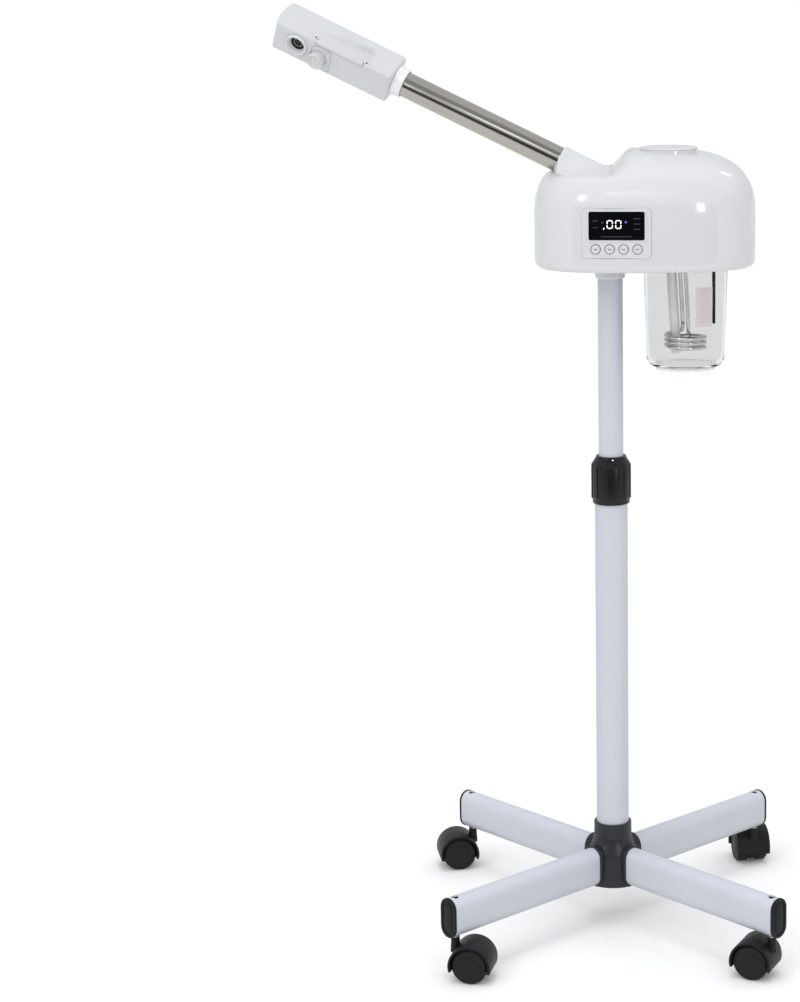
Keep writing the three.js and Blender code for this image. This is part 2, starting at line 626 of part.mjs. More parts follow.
function nozzleCore() {
  const back = HEAD_WIDE / 2 - 6;
  return turned([[0, back], [6.3, back], [6.3, back + 3], [3.5, back + 3.6], [1.5, back + 2.4],
    [0, back + 2.4]], 20)
    .rotateY(Math.PI / 2).translate(0, NOZZLE_V, NOZZLE_U);
}

function aromaCup() {
  const face = HEAD_WIDE / 2;
  return turned([[0, face - 9], [CUP_RADIUS, face - 9], [CUP_RADIUS, face + CUP_RISE - 1],
    [CUP_RADIUS - 1, face + CUP_RISE], [CUP_RADIUS - 2.4, face + CUP_RISE],
    [CUP_RADIUS - 2.4, face - 6.5], [0, face - 6.5]], 20)
    .rotateY(Math.PI / 2).translate(0, CUP_V, CUP_U);
}

function gripMiddle() {
  return [HEAD_WIDE / 2 - 1.4, HEAD_DEEP / 2 - 1];
}

function gripBar() {
  return rod(GRIP_RADIUS, GRIP_START, GRIP_END, 16).translate(...gripMiddle(), 0);
}

function buildArm() {
  const arm = new THREE.Group();
  arm.applyMatrix4(armBasis());
  steamer.add(arm);
  addPiece(arm, 'arm_tube', ring(ARM_RADIUS, ARM_RADIUS - 1.2, ARM_INSIDE, ARM_END), brushedSteel);
  const head = addGroup(arm, 0, 0, 0, rad(HEAD_ROLL));
  addPiece(head, 'head_shell', headShell(), glossyWhite);
  const neck = turned([[ARM_RADIUS + GAP, NECK_START], [13.8, NECK_START], [14.4, NECK_START + 0.8],
    [14.4, HEAD_START - 3], [NECK_FLANGE, HEAD_START - GAP], [ARM_RADIUS + GAP, HEAD_START - GAP],
    [ARM_RADIUS + GAP, NECK_START]]);
  addPiece(head, 'head_neck', neck, glossyWhite);
  addPiece(head, 'nozzle_ring', nozzleRing(), glossyWhite);
  addPiece(head, 'nozzle_core', nozzleCore(), blackPlastic);
  addPiece(head, 'aroma_cup', aromaCup(), clearPlastic);
  addPiece(head, 'grip_bar', gripBar(), glossyWhite);
}

function buildHousing() {
  addPiece(steamer, 'base_plate', basePlate(), glossyWhite);
  addPiece(steamer, 'housing_shell', shell(), glossyWhite);
  addPiece(steamer, 'filler_lid', lid(), glossyWhite);
  addPiece(steamer, 'steam_duct', steamDuct(), silicone);
  const inlet = cut(block(28, 18, 20), block(21, 14, 13).translate(0, 4, 0));
  addPiece(steamer, 'mains_inlet', inlet.translate(HOUSING_X, HOUSING_HALF_Y - 7, 722), blackPlastic);
}

buildStand();
buildColumn();
buildHousing();
buildControls();
buildJar();
buildArm();

// Origin at the middle of the footprint box, on the floor.
steamer.updateMatrixWorld(true);
const box = new THREE.Box3().setFromObject(steamer, true);
steamer.position.set(-(box.min.x + box.max.x) / 2, -(box.min.y + box.max.y) / 2, -box.min.z);
steamer.updateMatrixWorld(true);

export default steamer;
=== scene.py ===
"""Looks of the facial steamer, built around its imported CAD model.

Every piece is made in millimetres in its own frame and placed by a matrix of the layout, whose
Z axis is the axis of the column. The front of the steamer faces -Y.
"""

import json
from math import cos, hypot, pi, radians, sin, sqrt, tan

import bmesh
import bpy
from mathutils import Matrix, Vector


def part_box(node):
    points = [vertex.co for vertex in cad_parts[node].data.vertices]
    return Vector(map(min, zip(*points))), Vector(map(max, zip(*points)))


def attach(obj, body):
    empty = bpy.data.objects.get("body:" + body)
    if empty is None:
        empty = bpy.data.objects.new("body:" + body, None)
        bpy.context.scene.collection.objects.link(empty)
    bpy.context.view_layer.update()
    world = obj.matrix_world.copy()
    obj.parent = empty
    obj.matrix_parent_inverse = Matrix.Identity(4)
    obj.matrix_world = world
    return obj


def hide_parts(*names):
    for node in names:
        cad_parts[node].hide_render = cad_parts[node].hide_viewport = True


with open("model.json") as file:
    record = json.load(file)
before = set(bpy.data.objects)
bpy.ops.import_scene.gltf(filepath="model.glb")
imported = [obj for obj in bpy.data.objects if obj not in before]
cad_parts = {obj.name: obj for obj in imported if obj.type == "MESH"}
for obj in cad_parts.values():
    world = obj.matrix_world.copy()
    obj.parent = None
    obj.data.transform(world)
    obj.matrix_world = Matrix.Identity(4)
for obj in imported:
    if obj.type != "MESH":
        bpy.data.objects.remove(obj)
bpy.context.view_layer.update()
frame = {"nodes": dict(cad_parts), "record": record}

MM = 0.001
UPPER_TUBE_BOTTOM = 262.0
mast_low, mast_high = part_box("upper_mast")
COLUMN = Vector(((mast_low.x + mast_high.x) / 2, (mast_low.y + mast_high.y) / 2,
                 mast_low.z - UPPER_TUBE_BOTTOM * MM))


# ---------------------------------------------------------------- placing and mesh helpers
def turn(degrees, axis="Z"):
    return Matrix.Rotation(radians(degrees), 4, axis)


def move(x=0.0, y=0.0, z=0.0):
    return Matrix.Translation((x, y, z))


def in_frame(place):
    """The layout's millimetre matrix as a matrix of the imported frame, in metres."""
    matrix = place.copy()
    matrix.translation = matrix.translation * MM + COLUMN
    return matrix


def make_object(name, mesh, place):
    """Links a bmesh, in millimetres, as an object that stands at place."""
    bmesh.ops.remove_doubles(mesh, verts=mesh.verts, dist=1e-4)
    bmesh.ops.recalc_face_normals(mesh, faces=mesh.faces)
    bmesh.ops.scale(mesh, vec=(MM, MM, MM), verts=mesh.verts)
    data = bpy.data.meshes.new(name)
    mesh.to_mesh(data)
    mesh.free()
    made = bpy.data.objects.new(name, data)
    bpy.context.scene.collection.objects.link(made)
    made.matrix_world = in_frame(place)
    smooth(made)
    return made


def smooth(made, angle=32):
    made.data.shade_smooth()
    made.data.set_sharp_from_angle(angle=radians(angle))


def rounded(points, closed=False, steps=5):
    """An outline of (x, y) points, where a third number is the radius of that corner."""
    outline = []
    for i, point in enumerate(points):
        here = Vector(point[:2])
        radius = point[2] if len(point) > 2 else 0
        if radius == 0 or (not closed and i in (0, len(points) - 1)):
            outline.append(tuple(here))
            continue
        before = Vector(points[i - 1][:2]) - here
        after = Vector(points[(i + 1) % len(points)][:2]) - here
        reach = radius / tan(before.angle(after) / 2)
        reach = min(reach, 0.48 * before.length, 0.48 * after.length)
        start = here + before.normalized() * reach
        end = here + after.normalized() * reach
        for k in range(steps + 1):
            t = k / steps
            outline.append(tuple(start * (1 - t) ** 2 + here * 2 * t * (1 - t) + end * t * t))
    return outline


def smoothstep(x, low, high):
    t = min(1.0, max(0.0, (x - low) / (high - low)))
    return t * t * (3 - 2 * t)


def smooth_max(a, b, blend):
    """The higher of two heights, with a fillet of about the given size between them."""
    h = max(blend - abs(a - b), 0.0) / blend
    return max(a, b) + h * h * blend / 4


def loft(name, loops, place=Matrix(), ring=False):
    """Skin over loops with the same number of points; the ends are closed unless it is a ring."""
    mesh = bmesh.new()
    rows = [[mesh.verts.new(p) for p in loop] for loop in loops]
    pairs = list(zip(rows, rows[1:]))
    if ring:
        pairs.append((rows[-1], rows[0]))
    for low, high in pairs:
        for k in range(len(low)):
            mesh.faces.new((low[k - 1], low[k], high[k], high[k - 1]))
    if not ring:
        mesh.faces.new(rows[0])
        mesh.faces.new(rows[-1])
    return make_object(name, mesh, place)


def revolve(name, profile, place=Matrix(), segments=96, ring=False, radius_at=None):
    """Solid of revolution about Z from (radius, z) points."""
    loops = []
    for r, z in profile:
        loop = []
        for k in range(segments):
            angle = 2 * pi * k / segments
            reach = r if radius_at is None else radius_at(r, z, angle)
            loop.append((reach * cos(angle), reach * sin(angle), z))
        loops.append(loop)
    return loft(name, loops, place, ring)


def tube(name, outer, inner, bottom, top, place=Matrix(), edge=0.4):
    profile = [(inner, bottom, edge), (outer, bottom, edge), (outer, top, edge), (inner, top, edge)]
    return revolve(name, rounded(profile, closed=True, steps=3), place, ring=True)


def disc_outline(radius, x=0.0, y=0.0, count=48):
    angles = [2 * pi * k / count for k in range(count)]
    return [(x + radius * cos(a), y + radius * sin(a)) for a in angles]


def box_outline(width, height, corner, x=0.0, y=0.0):
    w, h = width / 2, height / 2
    corners = [(x + w, y + h, corner), (x - w, y + h, corner),
               (x - w, y - h, corner), (x + w, y - h, corner)]
    return rounded(corners, closed=True, steps=8)


def plate(name, outlines, thickness, edge, place):
    """Flat plate from Z = 0 up to its thickness, with rounded rims; inner outlines are holes."""
    curve = bpy.data.curves.new(name, "CURVE")
    curve.dimensions = "2D"
    curve.fill_mode = "BOTH"
    curve.extrude = thickness / 2 - edge
    curve.bevel_depth = edge
    curve.bevel_resolution = 2
    curve.offset = -edge
    for outline in outlines:
        spline = curve.splines.new("POLY")
        spline.points.add(len(outline) - 1)
        for point, (x, y) in zip(spline.points, outline):
            point.co = (x, y, 0, 1)
        spline.use_cyclic_u = True
    return from_curve(name, curve, place @ move(z=thickness / 2))


def bent_rod(name, points, radius, place):
    """Round rod along a smooth line through the points."""
    curve = bpy.data.curves.new(name, "CURVE")
    curve.dimensions = "3D"
    curve.bevel_depth = radius
    curve.bevel_resolution = 5
    curve.use_fill_caps = True
    curve.resolution_u = 4
    spline = curve.splines.new("NURBS")
    spline.points.add(len(points) - 1)
    for point, co in zip(spline.points, points):
        point.co = (*co, 1)
    spline.use_endpoint_u = True
    spline.order_u = 4
    return from_curve(name, curve, place)


def from_curve(name, curve, place):
    holder = bpy.data.objects.new(name, curve)
    bpy.context.scene.collection.objects.link(holder)
    bpy.context.view_layer.update()
    graph = bpy.context.evaluated_depsgraph_get()
    data = bpy.data.meshes.new_from_object(holder.evaluated_get(graph))
    bpy.data.objects.remove(holder)
    bpy.data.curves.remove(curve)
    mesh = bmesh.new()
    mesh.from_mesh(data)
    bpy.data.meshes.remove(data)
    return make_object(name, mesh, place)


def settle(made):
    """Applies the modifiers of an object."""
    bpy.context.view_layer.update()
    graph = bpy.context.evaluated_depsgraph_get()
    data = bpy.data.meshes.new_from_object(made.evaluated_get(graph))
    made.modifiers.clear()
    made.data = data
    smooth(made)


def combine(made, operation, *tools):
    for tool in tools:
        modifier = made.modifiers.new("combine", "BOOLEAN")
        modifier.operation = operation
        modifier.solver = "EXACT"
        modifier.object = tool
    settle(made)
    for tool in tools:
        bpy.data.objects.remove(tool)
    return made


def cut(made, *tools):
    combine(made, "DIFFERENCE", *tools)


def soften(made, width, angle):
    """Rounds the edges sharper than the angle to the given width in millimetres."""
    modifier = made.modifiers.new("soften", "BEVEL")
    modifier.width = width * MM
    modifier.segments = 2
    modifier.limit_method = "ANGLE"
    modifier.angle_limit = radians(angle)
    modifier.use_clamp_overlap = True
    settle(made)


# ---------------------------------------------------------------- materials
GRAIN_DEPTH = 0.1


def surface(name, color, roughness, grain, bump, metallic=0.0, spread=0.02, cloud=30.0,
            stretch=(1, 1, 1), **constants):
    """Principled material: soft colour clouds, uneven roughness and a fine grain of bump."""
    material = bpy.data.materials.new(name)
    material.use_nodes = True
    nodes, links = material.node_tree.nodes, material.node_tree.links
    shader = nodes["Principled BSDF"]
    shader.inputs["Metallic"].default_value = metallic
    for key, value in constants.items():
        shader.inputs[key.replace("_", " ")].default_value = value

    place = nodes.new("ShaderNodeTexCoord")
    mapping = nodes.new("ShaderNodeMapping")
    mapping.inputs["Scale"].default_value = stretch
    links.new(place.outputs["Object"], mapping.inputs["Vector"])

    def noise(scale, detail):
        node = nodes.new("ShaderNodeTexNoise")
        node.inputs["Scale"].default_value = scale
        node.inputs["Detail"].default_value = detail
        links.new(mapping.outputs["Vector"], node.inputs["Vector"])
        return node.outputs["Fac"]

    clouds, grains = noise(cloud, 3.0), noise(grain, 2.0)
    ramp = nodes.new("ShaderNodeValToRGB")
    for element, share in zip(ramp.color_ramp.elements, (1 - spread, 1 + spread)):
        element.color = (*[min(1.0, c * share) for c in color], 1)
    ramp.color_ramp.elements[0].position = 0.3
    ramp.color_ramp.elements[1].position = 0.7
    links.new(clouds, ramp.inputs["Fac"])
    links.new(ramp.outputs["Color"], shader.inputs["Base Color"])

    uneven = nodes.new("ShaderNodeMapRange")
    uneven.inputs["To Min"].default_value = roughness * 0.85
    uneven.inputs["To Max"].default_value = min(1.0, roughness * 1.15)
    links.new(grains, uneven.inputs["Value"])
    links.new(uneven.outputs["Result"], shader.inputs["Roughness"])

    bumps = nodes.new("ShaderNodeBump")
    bumps.inputs["Strength"].default_value = bump
    bumps.inputs["Distance"].default_value = GRAIN_DEPTH * MM
    links.new(grains, bumps.inputs["Height"])
    links.new(bumps.outputs["Normal"], shader.inputs["Normal"])
    return material


GLOSS_WHITE = surface("gloss_white", (0.68, 0.695, 0.722), 0.16, spread=0.012, cloud=18, grain=260,
                      bump=0.03, Coat_Weight=0.5, Coat_Roughness=0.06)
# Gloss white of the head and grip rail, painted darker than the housing's gloss white: painted shade for the
# head's down-facing faces.
HEAD_SHADED_WHITE = surface("head_white_painted_shade", (0.632, 0.647, 0.675), 0.17, spread=0.012, cloud=30, grain=260,
                     bump=0.03, Coat_Weight=0.4, Coat_Roughness=0.07)
# White of the head collar, painted brighter than the gloss white: painted light falling on it from the left.
COLLAR_LIT_WHITE = surface("collar_white_painted_light", (0.84, 0.85, 0.87), 0.3, spread=0.01, grain=600, bump=0.03)
COATED_WHITE = surface("coated_white", (0.6, 0.628, 0.695), 0.38, spread=0.015, grain=2600, bump=0.16)
BLACK_PLASTIC = surface("black_plastic", (0.0105, 0.011, 0.012), 0.42, spread=0.12, grain=1800, bump=0.2,
                        Specular_IOR_Level=0.22)
SATIN_BLACK = surface("satin_black", (0.0085, 0.009, 0.01), 0.26, spread=0.12, grain=1400, bump=0.08,
                      Specular_IOR_Level=0.32)
DARK_GREY = surface("dark_grey_plastic", (0.024, 0.027, 0.034), 0.3, spread=0.1, grain=1500, bump=0.14,
                    Specular_IOR_Level=0.32)
BRUSHED_STEEL = surface("brushed_steel", (0.5, 0.488, 0.455), 0.13, metallic=1.0, spread=0.1, cloud=500,
                        grain=1600, bump=0.06, stretch=(1, 1, 0.02))
POLISHED_STEEL = surface("polished_steel", (0.7, 0.69, 0.67), 0.06, metallic=1.0, spread=0.05,
                         grain=900, bump=0.03)
MATT_STEEL = surface("matt_steel", (0.88, 0.88, 0.87), 0.34, metallic=0.55, spread=0.05, cloud=200,
                     grain=1500, bump=0.1, stretch=(1, 1, 0.05))
WHEEL_RUBBER = surface("wheel_rubber", (0.0115, 0.0125, 0.013), 0.46, spread=0.15, grain=1500, bump=0.2,
                       Specular_IOR_Level=0.24)
SILICONE = surface("silicone", (0.72, 0.71, 0.68), 0.55, grain=700, bump=0.1, Subsurface_Weight=0.1)
SCREEN = surface("screen", (0.003, 0.003, 0.005), 0.08, spread=0.2, grain=300, bump=0.01,
                 Specular_IOR_Level=0.2)
SCREEN_MARK = surface("screen_mark", (0.05, 0.052, 0.06), 0.3, grain=900, bump=0.02)
BRASS = surface("brass", (0.72, 0.55, 0.28), 0.22, metallic=1.0, spread=0.05, grain=1200, bump=0.05)
BOARD = surface("circuit_board", (0.03, 0.12, 0.06), 0.5, spread=0.2, grain=800, bump=0.3)
NATURAL = surface("natural_plastic", (0.75, 0.74, 0.7), 0.5, grain=900, bump=0.1)
CLEAR = surface("clear_plastic", (0.82, 0.822, 0.824), 0.0, spread=0.004, grain=120, bump=0.0,
                Transmission_Weight=1.0, IOR=1.09)
FROSTED = surface("frosted_plastic", (0.8, 0.81, 0.835), 0.28, spread=0.01, grain=300, bump=0.02,
                  Transmission_Weight=0.2, IOR=1.35)
MARK_GREY = surface("mark_grey", (0.16, 0.17, 0.19), 0.5, grain=900, bump=0.05)
LABEL = surface("label", (0.78, 0.66, 0.69), 0.5, spread=0.03, grain=900, bump=0.05, Alpha=0.22)
# Glowing white: the display's lit digits, and the painted glint of the lock collar's dot.
LIT_WHITE = surface("lit_white", (0.9, 0.9, 0.9), 0.4, grain=900, bump=0.02,
                    Emission_Color=(1, 1, 1, 1), Emission_Strength=0.7)
LIT_RED = surface("lit_red", (0.1, 0.012, 0.018), 0.4, grain=900, bump=0.02,
                  Emission_Color=(0.5, 0.03, 0.06, 1), Emission_Strength=0.08)
JET_RED = surface("jet_red", (0.045, 0.008, 0.011), 0.42, grain=900, bump=0.02)
LIT_VIOLET = surface("lit_violet", (0.06, 0.05, 0.3), 0.4, grain=900, bump=0.02,
                     Emission_Color=(0.2, 0.15, 0.9, 1), Emission_Strength=0.5)

SLOT_MATERIALS = {
    "gloss_white": GLOSS_WHITE, "coated_white": COATED_WHITE, "black_plastic": BLACK_PLASTIC,
    "dark_grey_plastic": DARK_GREY, "brushed_steel": POLISHED_STEEL, "clear_plastic": CLEAR,
    "wheel_rubber": WHEEL_RUBBER, "silicone": SILICONE, "screen": SCREEN, "circuit_board": BOARD,
    "natural_plastic": NATURAL,
}


def piece(made, body, slot, *nodes, material=None):
    """Gives a new piece its finish, from its slot unless a material is given, hangs it on its body, and
    hides the CAD nodes that it stands for.
    """
    made.data.materials.clear()
    made.data.materials.append(material or SLOT_MATERIALS[slot])
    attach(made, body)
    if nodes:
        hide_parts(*nodes)
    return made


def dress_cad_nodes():
    """Finishes for the CAD nodes that stay, from their slots in the record."""
    for part in frame["record"]["subparts"]:
        node = frame["nodes"][part["node"]]
        node.data.materials.clear()
        node.data.materials.append(SLOT_MATERIALS[part["material_slot"]])


# ---------------------------------------------------------------- camera, light and floor
CAMERA_PLACE = Vector((0, -2.396, 0.9685))
CAMERA_YAW, CAMERA_PITCH, CAMERA_ROLL = 1.59, 10.79, -0.58
CAMERA_LENS, CAMERA_SHIFT_X, CAMERA_SHIFT_Y = 86.91, -0.1447, -0.0609
WORLD_COLOR, WORLD_LIGHT = (0.98, 0.985, 1.0, 1), 0.7
FLOOR_WHITE, FLOOR_GLOW, FLOOR_REACH = (0.97, 0.97, 0.97), 0.03, 160.0
BOUNCE_WHITE, CARD_BLACK = (0.8, 0.79, 0.77), (0.02, 0.02, 0.02)


def make_camera():
    yaw, pitch, roll = radians(CAMERA_YAW), radians(CAMERA_PITCH), radians(CAMERA_ROLL)
    forward = Vector((-sin(yaw) * cos(pitch), cos(yaw) * cos(pitch), -sin(pitch)))
    level = Vector((cos(yaw), sin(yaw), 0))
    upright = level.cross(forward)
    right = level * cos(roll) + upright * sin(roll)
    up = upright * cos(roll) - level * sin(roll)
    data = bpy.data.cameras.new("camera")
    data.lens = CAMERA_LENS
    data.shift_x = CAMERA_SHIFT_X
    data.shift_y = CAMERA_SHIFT_Y
    data.clip_end = 2 * FLOOR_REACH
    camera = bpy.data.objects.new("camera", data)
    bpy.context.scene.collection.objects.link(camera)
    camera.matrix_world = Matrix((right, up, -forward)).transposed().to_4x4()
    camera.matrix_world.translation = COLUMN + CAMERA_PLACE
    bpy.context.scene.camera = camera


def area_light(name, place, target, width, height, power):
    """Rectangular lamp that faces its target; both places are metres from the column's foot."""
    data = bpy.data.lights.new(name, "AREA")
    data.shape = "RECTANGLE"
    data.size = width
    data.size_y = height
    data.energy = power
    light = bpy.data.objects.new(name, data)
    bpy.context.scene.collection.objects.link(light)
    light.location = COLUMN + Vector(place)
    aim = COLUMN + Vector(target) - light.location
    light.rotation_euler = aim.to_track_quat("-Z", "Y").to_euler()


def soft_sun(name, energy, spread, direction):
    """Sun that shines along the direction, with a wide disc in degrees for soft shadows."""
    data = bpy.data.lights.new(name, "SUN")
    data.energy = energy
    data.angle = radians(spread)
    sun = bpy.data.objects.new(name, data)
    bpy.context.scene.collection.objects.link(sun)
    sun.rotation_euler = Vector(direction).to_track_quat("-Z", "Y").to_euler()
    sun.visible_glossy = False


def studio_panel(name, corners, color, glow, seen_by):
    """Flat card or floor of the studio, which only the given kinds of rays meet."""
    mesh = bmesh.new()
    mesh.faces.new([mesh.verts.new(Vector(c) / MM) for c in corners])
    card = make_object(name, mesh, Matrix())
    card.data.materials.append(surface(name, color, 0.9, grain=5, bump=0.0, spread=0.0,
                                       Emission_Color=(1, 1, 1, 1), Emission_Strength=glow))
    for kind in ("camera", "diffuse", "glossy", "transmission"):
        setattr(card, "visible_" + kind, kind in seen_by)
    card.visible_shadow = False


def wall_card(name, x, y, z, glow):
    """Upright card behind the camera, seen only in reflections; x and z are its two ends."""
    corners = [(x[0], y, z[0]), (x[1], y, z[0]), (x[1], y, z[1]), (x[0], y, z[1])]
    studio_panel(name, corners, CARD_BLACK, glow, ("glossy",))


def make_studio():
    world = bpy.data.worlds.new("studio")
    bpy.context.scene.world = world
    world.use_nodes = True
    background = world.node_tree.nodes["Background"]
    background.inputs["Color"].default_value = WORLD_COLOR
    background.inputs["Strength"].default_value = WORLD_LIGHT
    bpy.context.scene.view_settings.view_transform = "Standard"
    wide, floor = FLOOR_REACH, -COLUMN.z
    corners = [(-wide, -wide, floor), (wide, -wide, floor), (wide, wide, floor), (-wide, wide, floor)]
    studio_panel("floor", corners, FLOOR_WHITE, FLOOR_GLOW, ("camera", "transmission"))
    below = [(x, y, z - 0.002) for x, y, z in corners]
    studio_panel("floor_bounce", below, BOUNCE_WHITE, 0.0, ("diffuse", "glossy"))
    wall_card("dark_card", (-2.8, 2.8), -2.7, (0.0, 1.33), 0.04)
    wall_card("strip_card", (-0.75, 0.1), -2.7, (2.0, 2.5), 1.9)
    wall_card("grey_card", (-2.8, 2.8), -2.75, (2.6, 7.0), 0.36)
    soft_sun("front_sun", 0.75, 60, (0.25, 0.75, -0.75))
    soft_sun("top_sun", 0.6, 24, (0.0, 0.02, -1.0))
    area_light("left_box", (-1.446, -2.0, 1.683), (0, 0, 0.6), 0.3, 0.35, 5)
    area_light("right_box", (1.028, -2.0, 0.98), (0, 0, 0.7), 0.25, 0.35, 3.5)
    area_light("back_box", (1.4, 0.95, 2.4), (0, 0, 0.8), 0.14, 0.5, 1.7)


# ---------------------------------------------------------------- stand
LEG_BOTTOM, LEG_HEIGHT, LEG_WIDTH, LEG_WALL = 46.5, 40.0, 21.0, 1.6
LEG_MIDDLE = LEG_BOTTOM + LEG_HEIGHT / 2
LEG_START, LEG_END = 13.0, 226.5
CAP_FACE = LEG_END + 2.5
LEG_HOLE_TOP, LEG_HOLE_BOTTOM, CAP_HOLE = 3.9, 3.2, 4.9
LEG_ANGLES = {"front_left": 225, "front_right": 315, "back_left": 135, "back_right": 45}
HUB_REACH = 29.5
HUB_BOTTOM, SOCKET_FLOOR, SOCKET_TOP, SOCKET_BORE = 45.9, 90.0, 110.0, 16.95
HUB_SCREW_Z = 101.0
CASTER_RADIUS = 219.5
CASTER_YAWS = {"front_left": -10, "front_right": 157, "back_left": 192, "back_right": 102}
WHEEL_RADIUS, WHEEL_WIDTH, WHEEL_TRAIL, WEB_WIDTH = 18.0, 13.7, 17.0, 7.4
AXLE_Z, AXLE_HALF, AXLE_RADIUS = 20.6, 16.6, 3.0
HOOD_RADIUS, HOOD_INSIDE = 21.3, 18.9
WHEEL_GAP = 0.3


def oval_loop(inset, x):
    """Upright flat-oval loop of a leg in the plane at x, shrunk by inset."""
    radius = LEG_WIDTH / 2 - inset
    straight = (LEG_HEIGHT - LEG_WIDTH) / 2
    loop = []
    for centre, start in ((straight, 0.0), (-straight, pi)):
        for k in range(13):
            angle = start + pi * k / 12
            loop.append((x, radius * cos(angle), centre + radius * sin(angle)))
    return loop


def oval_solid(name, profile, place, ring=False):
    return loft(name, [oval_loop(inset, x) for inset, x in profile], place, ring)


def leg_place(angle):
    """Frame of a leg: X along it from the column's axis, at the middle of its height."""
    return turn(angle) @ move(z=LEG_MIDDLE)


def build_leg(place_name, angle):
    place = leg_place(angle)
    pin_place = place @ move(x=CASTER_RADIUS)
    walls = rounded([(0, LEG_START), (0, LEG_END, 0.6), (LEG_WALL, LEG_END, 0.6), (LEG_WALL, LEG_START)],
                    closed=True, steps=3)
    leg = oval_solid("leg_tube_" + place_name, walls, place, ring=True)
    hole = revolve("hole", [(LEG_HOLE_TOP, 0), (LEG_HOLE_TOP, LEG_HEIGHT)], pin_place, 40)
    bottom_hole = revolve("hole", [(LEG_HOLE_BOTTOM, -LEG_HEIGHT), (LEG_HOLE_BOTTOM, 1)], pin_place, 40)
    cut(leg, hole, bottom_hole)
    piece(leg, "base", "coated_white", "leg_" + place_name)

    outline = rounded([(LEG_WALL + 0.3, LEG_END - 12), (LEG_WALL + 0.3, LEG_END + 0.3),
                       (-0.5, LEG_END + 0.3, 0.4), (-0.5, CAP_FACE, 1.3), (2.0, CAP_FACE, 0.4),
                       (2.7, CAP_FACE - 1.1, 0.5), (3.6, CAP_FACE - 1.1, 0.5),
                       (5.4, CAP_FACE - 0.1, 1.5), (9.4, CAP_FACE + 0.4)])
    cap = oval_solid("leg_end_cap_" + place_name, outline, place)
    cut(cap, revolve("hole", [(CAP_HOLE, -LEG_HEIGHT), (CAP_HOLE, LEG_HEIGHT)], pin_place, 40))
    piece(cap, "base", "black_plastic", "leg_cap_" + place_name)


def build_hub():
    core = rounded([(0, HUB_BOTTOM - 2), (29.6, HUB_BOTTOM - 2), (28.4, 54, 10), (25.4, 78, 14),
                    (20.2, 91, 6), (19.4, 94, 4), (19.3, SOCKET_TOP, 1.0), (0, SOCKET_TOP)])
    flare = rounded([(-1.3, 0), (-1.3, HUB_REACH - 7, 8), (-2.4, HUB_REACH - 1, 1),
                     (-2.2, HUB_REACH, 0.6), (-1.2, HUB_REACH, 0.6)])
    places = [leg_place(angle) for angle in LEG_ANGLES.values()]
    sleeves = [oval_solid("sleeve", flare, place) for place in places]
    hub = combine(revolve("hub_body", core), "UNION", *sleeves)
    bore = revolve("bore", [(SOCKET_BORE, SOCKET_FLOOR), (SOCKET_BORE, SOCKET_TOP + 1)])
    pockets = [oval_solid("pocket", [(-0.3, LEG_START - 0.3), (-0.3, 60)], place) for place in places]
    floor_cut = revolve("floor_cut", [(80, 0), (80, HUB_BOTTOM)], segments=48)
    cut(hub, floor_cut, bore, *pockets)
    soften(hub, 0.9, angle=28)
    piece(hub, "base", "dark_grey_plastic", "hub")

    back = move(z=HUB_SCREW_Z) @ turn(-90, "X")
    outline = rounded([(0, 17), (2.2, 17), (2.2, 20), (3.7, 20.2, 0.3), (3.7, 21.5, 0.8), (0, 22.2)])
    screw = revolve("hub_clamp_screw", outline, back, 48)
    hexagon = revolve("hexagon", [(1.5, 21), (1.5, 24)], back, 6)
    cut(screw, hexagon)
    piece(screw, "base", "black_plastic", "hub_screw")


def arc_band(inner, outer, start, end):
    """Outline of a band between two radii, from one angle to another, in degrees."""
    angles = [radians(start + (end - start) * k / 40) for k in range(41)]
    near = [(inner * cos(a), inner * sin(a)) for a in reversed(angles)]
    return [(outer * cos(a), outer * sin(a)) for a in angles] + near


def axle_rod(place):
    ends = [(0, -AXLE_HALF), (AXLE_RADIUS, -AXLE_HALF, 0.5), (AXLE_RADIUS, AXLE_HALF, 0.5), (0, AXLE_HALF)]
    return revolve("axle", rounded(ends), place, 40)


def build_hood(place_name, swivel, axle_place):
    """Body of a caster: a hood and a web between its wheels, with the axle and the neck."""
    width = WEB_WIDTH + 2 * WHEEL_WIDTH + 2
    fender = plate("caster_hood_" + place_name, [arc_band(HOOD_INSIDE, HOOD_RADIUS, -17, 197)], width, 0.6,
                   axle_place @ move(z=-width / 2))
    web_outline = [(x, max(y, -12.0)) for x, y in disc_outline(HOOD_INSIDE + 0.8, count=72)]
    web = plate("web", [web_outline], WEB_WIDTH, 0.5, axle_place @ move(z=-WEB_WIDTH / 2))
    neck = revolve("neck", rounded([(0, 30), (5, 30), (4.4, 40, 5), (4.3, LEG_BOTTOM - 1.7, 0.4),
                                    (0, LEG_BOTTOM - 1.7)]), swivel, 48)
    body = combine(fender, "UNION", web, axle_rod(axle_place), neck)
    clearances = []
    for start in (WEB_WIDTH / 2, -WEB_WIDTH / 2 - 20):
        walls = [(HOOD_INSIDE - 0.05, start), (HOOD_INSIDE - 0.05, start + 20)]
        clearances.append(revolve("clearance", walls, axle_place))
    bore = revolve("bore", [(3.2, 37.2), (3.2, 60)], swivel, 48)
    cut(body, *clearances, bore)
    combine(body, "UNION", axle_rod(axle_place))
    piece(body, "caster_" + place_name, "black_plastic", "caster_body_" + place_name)


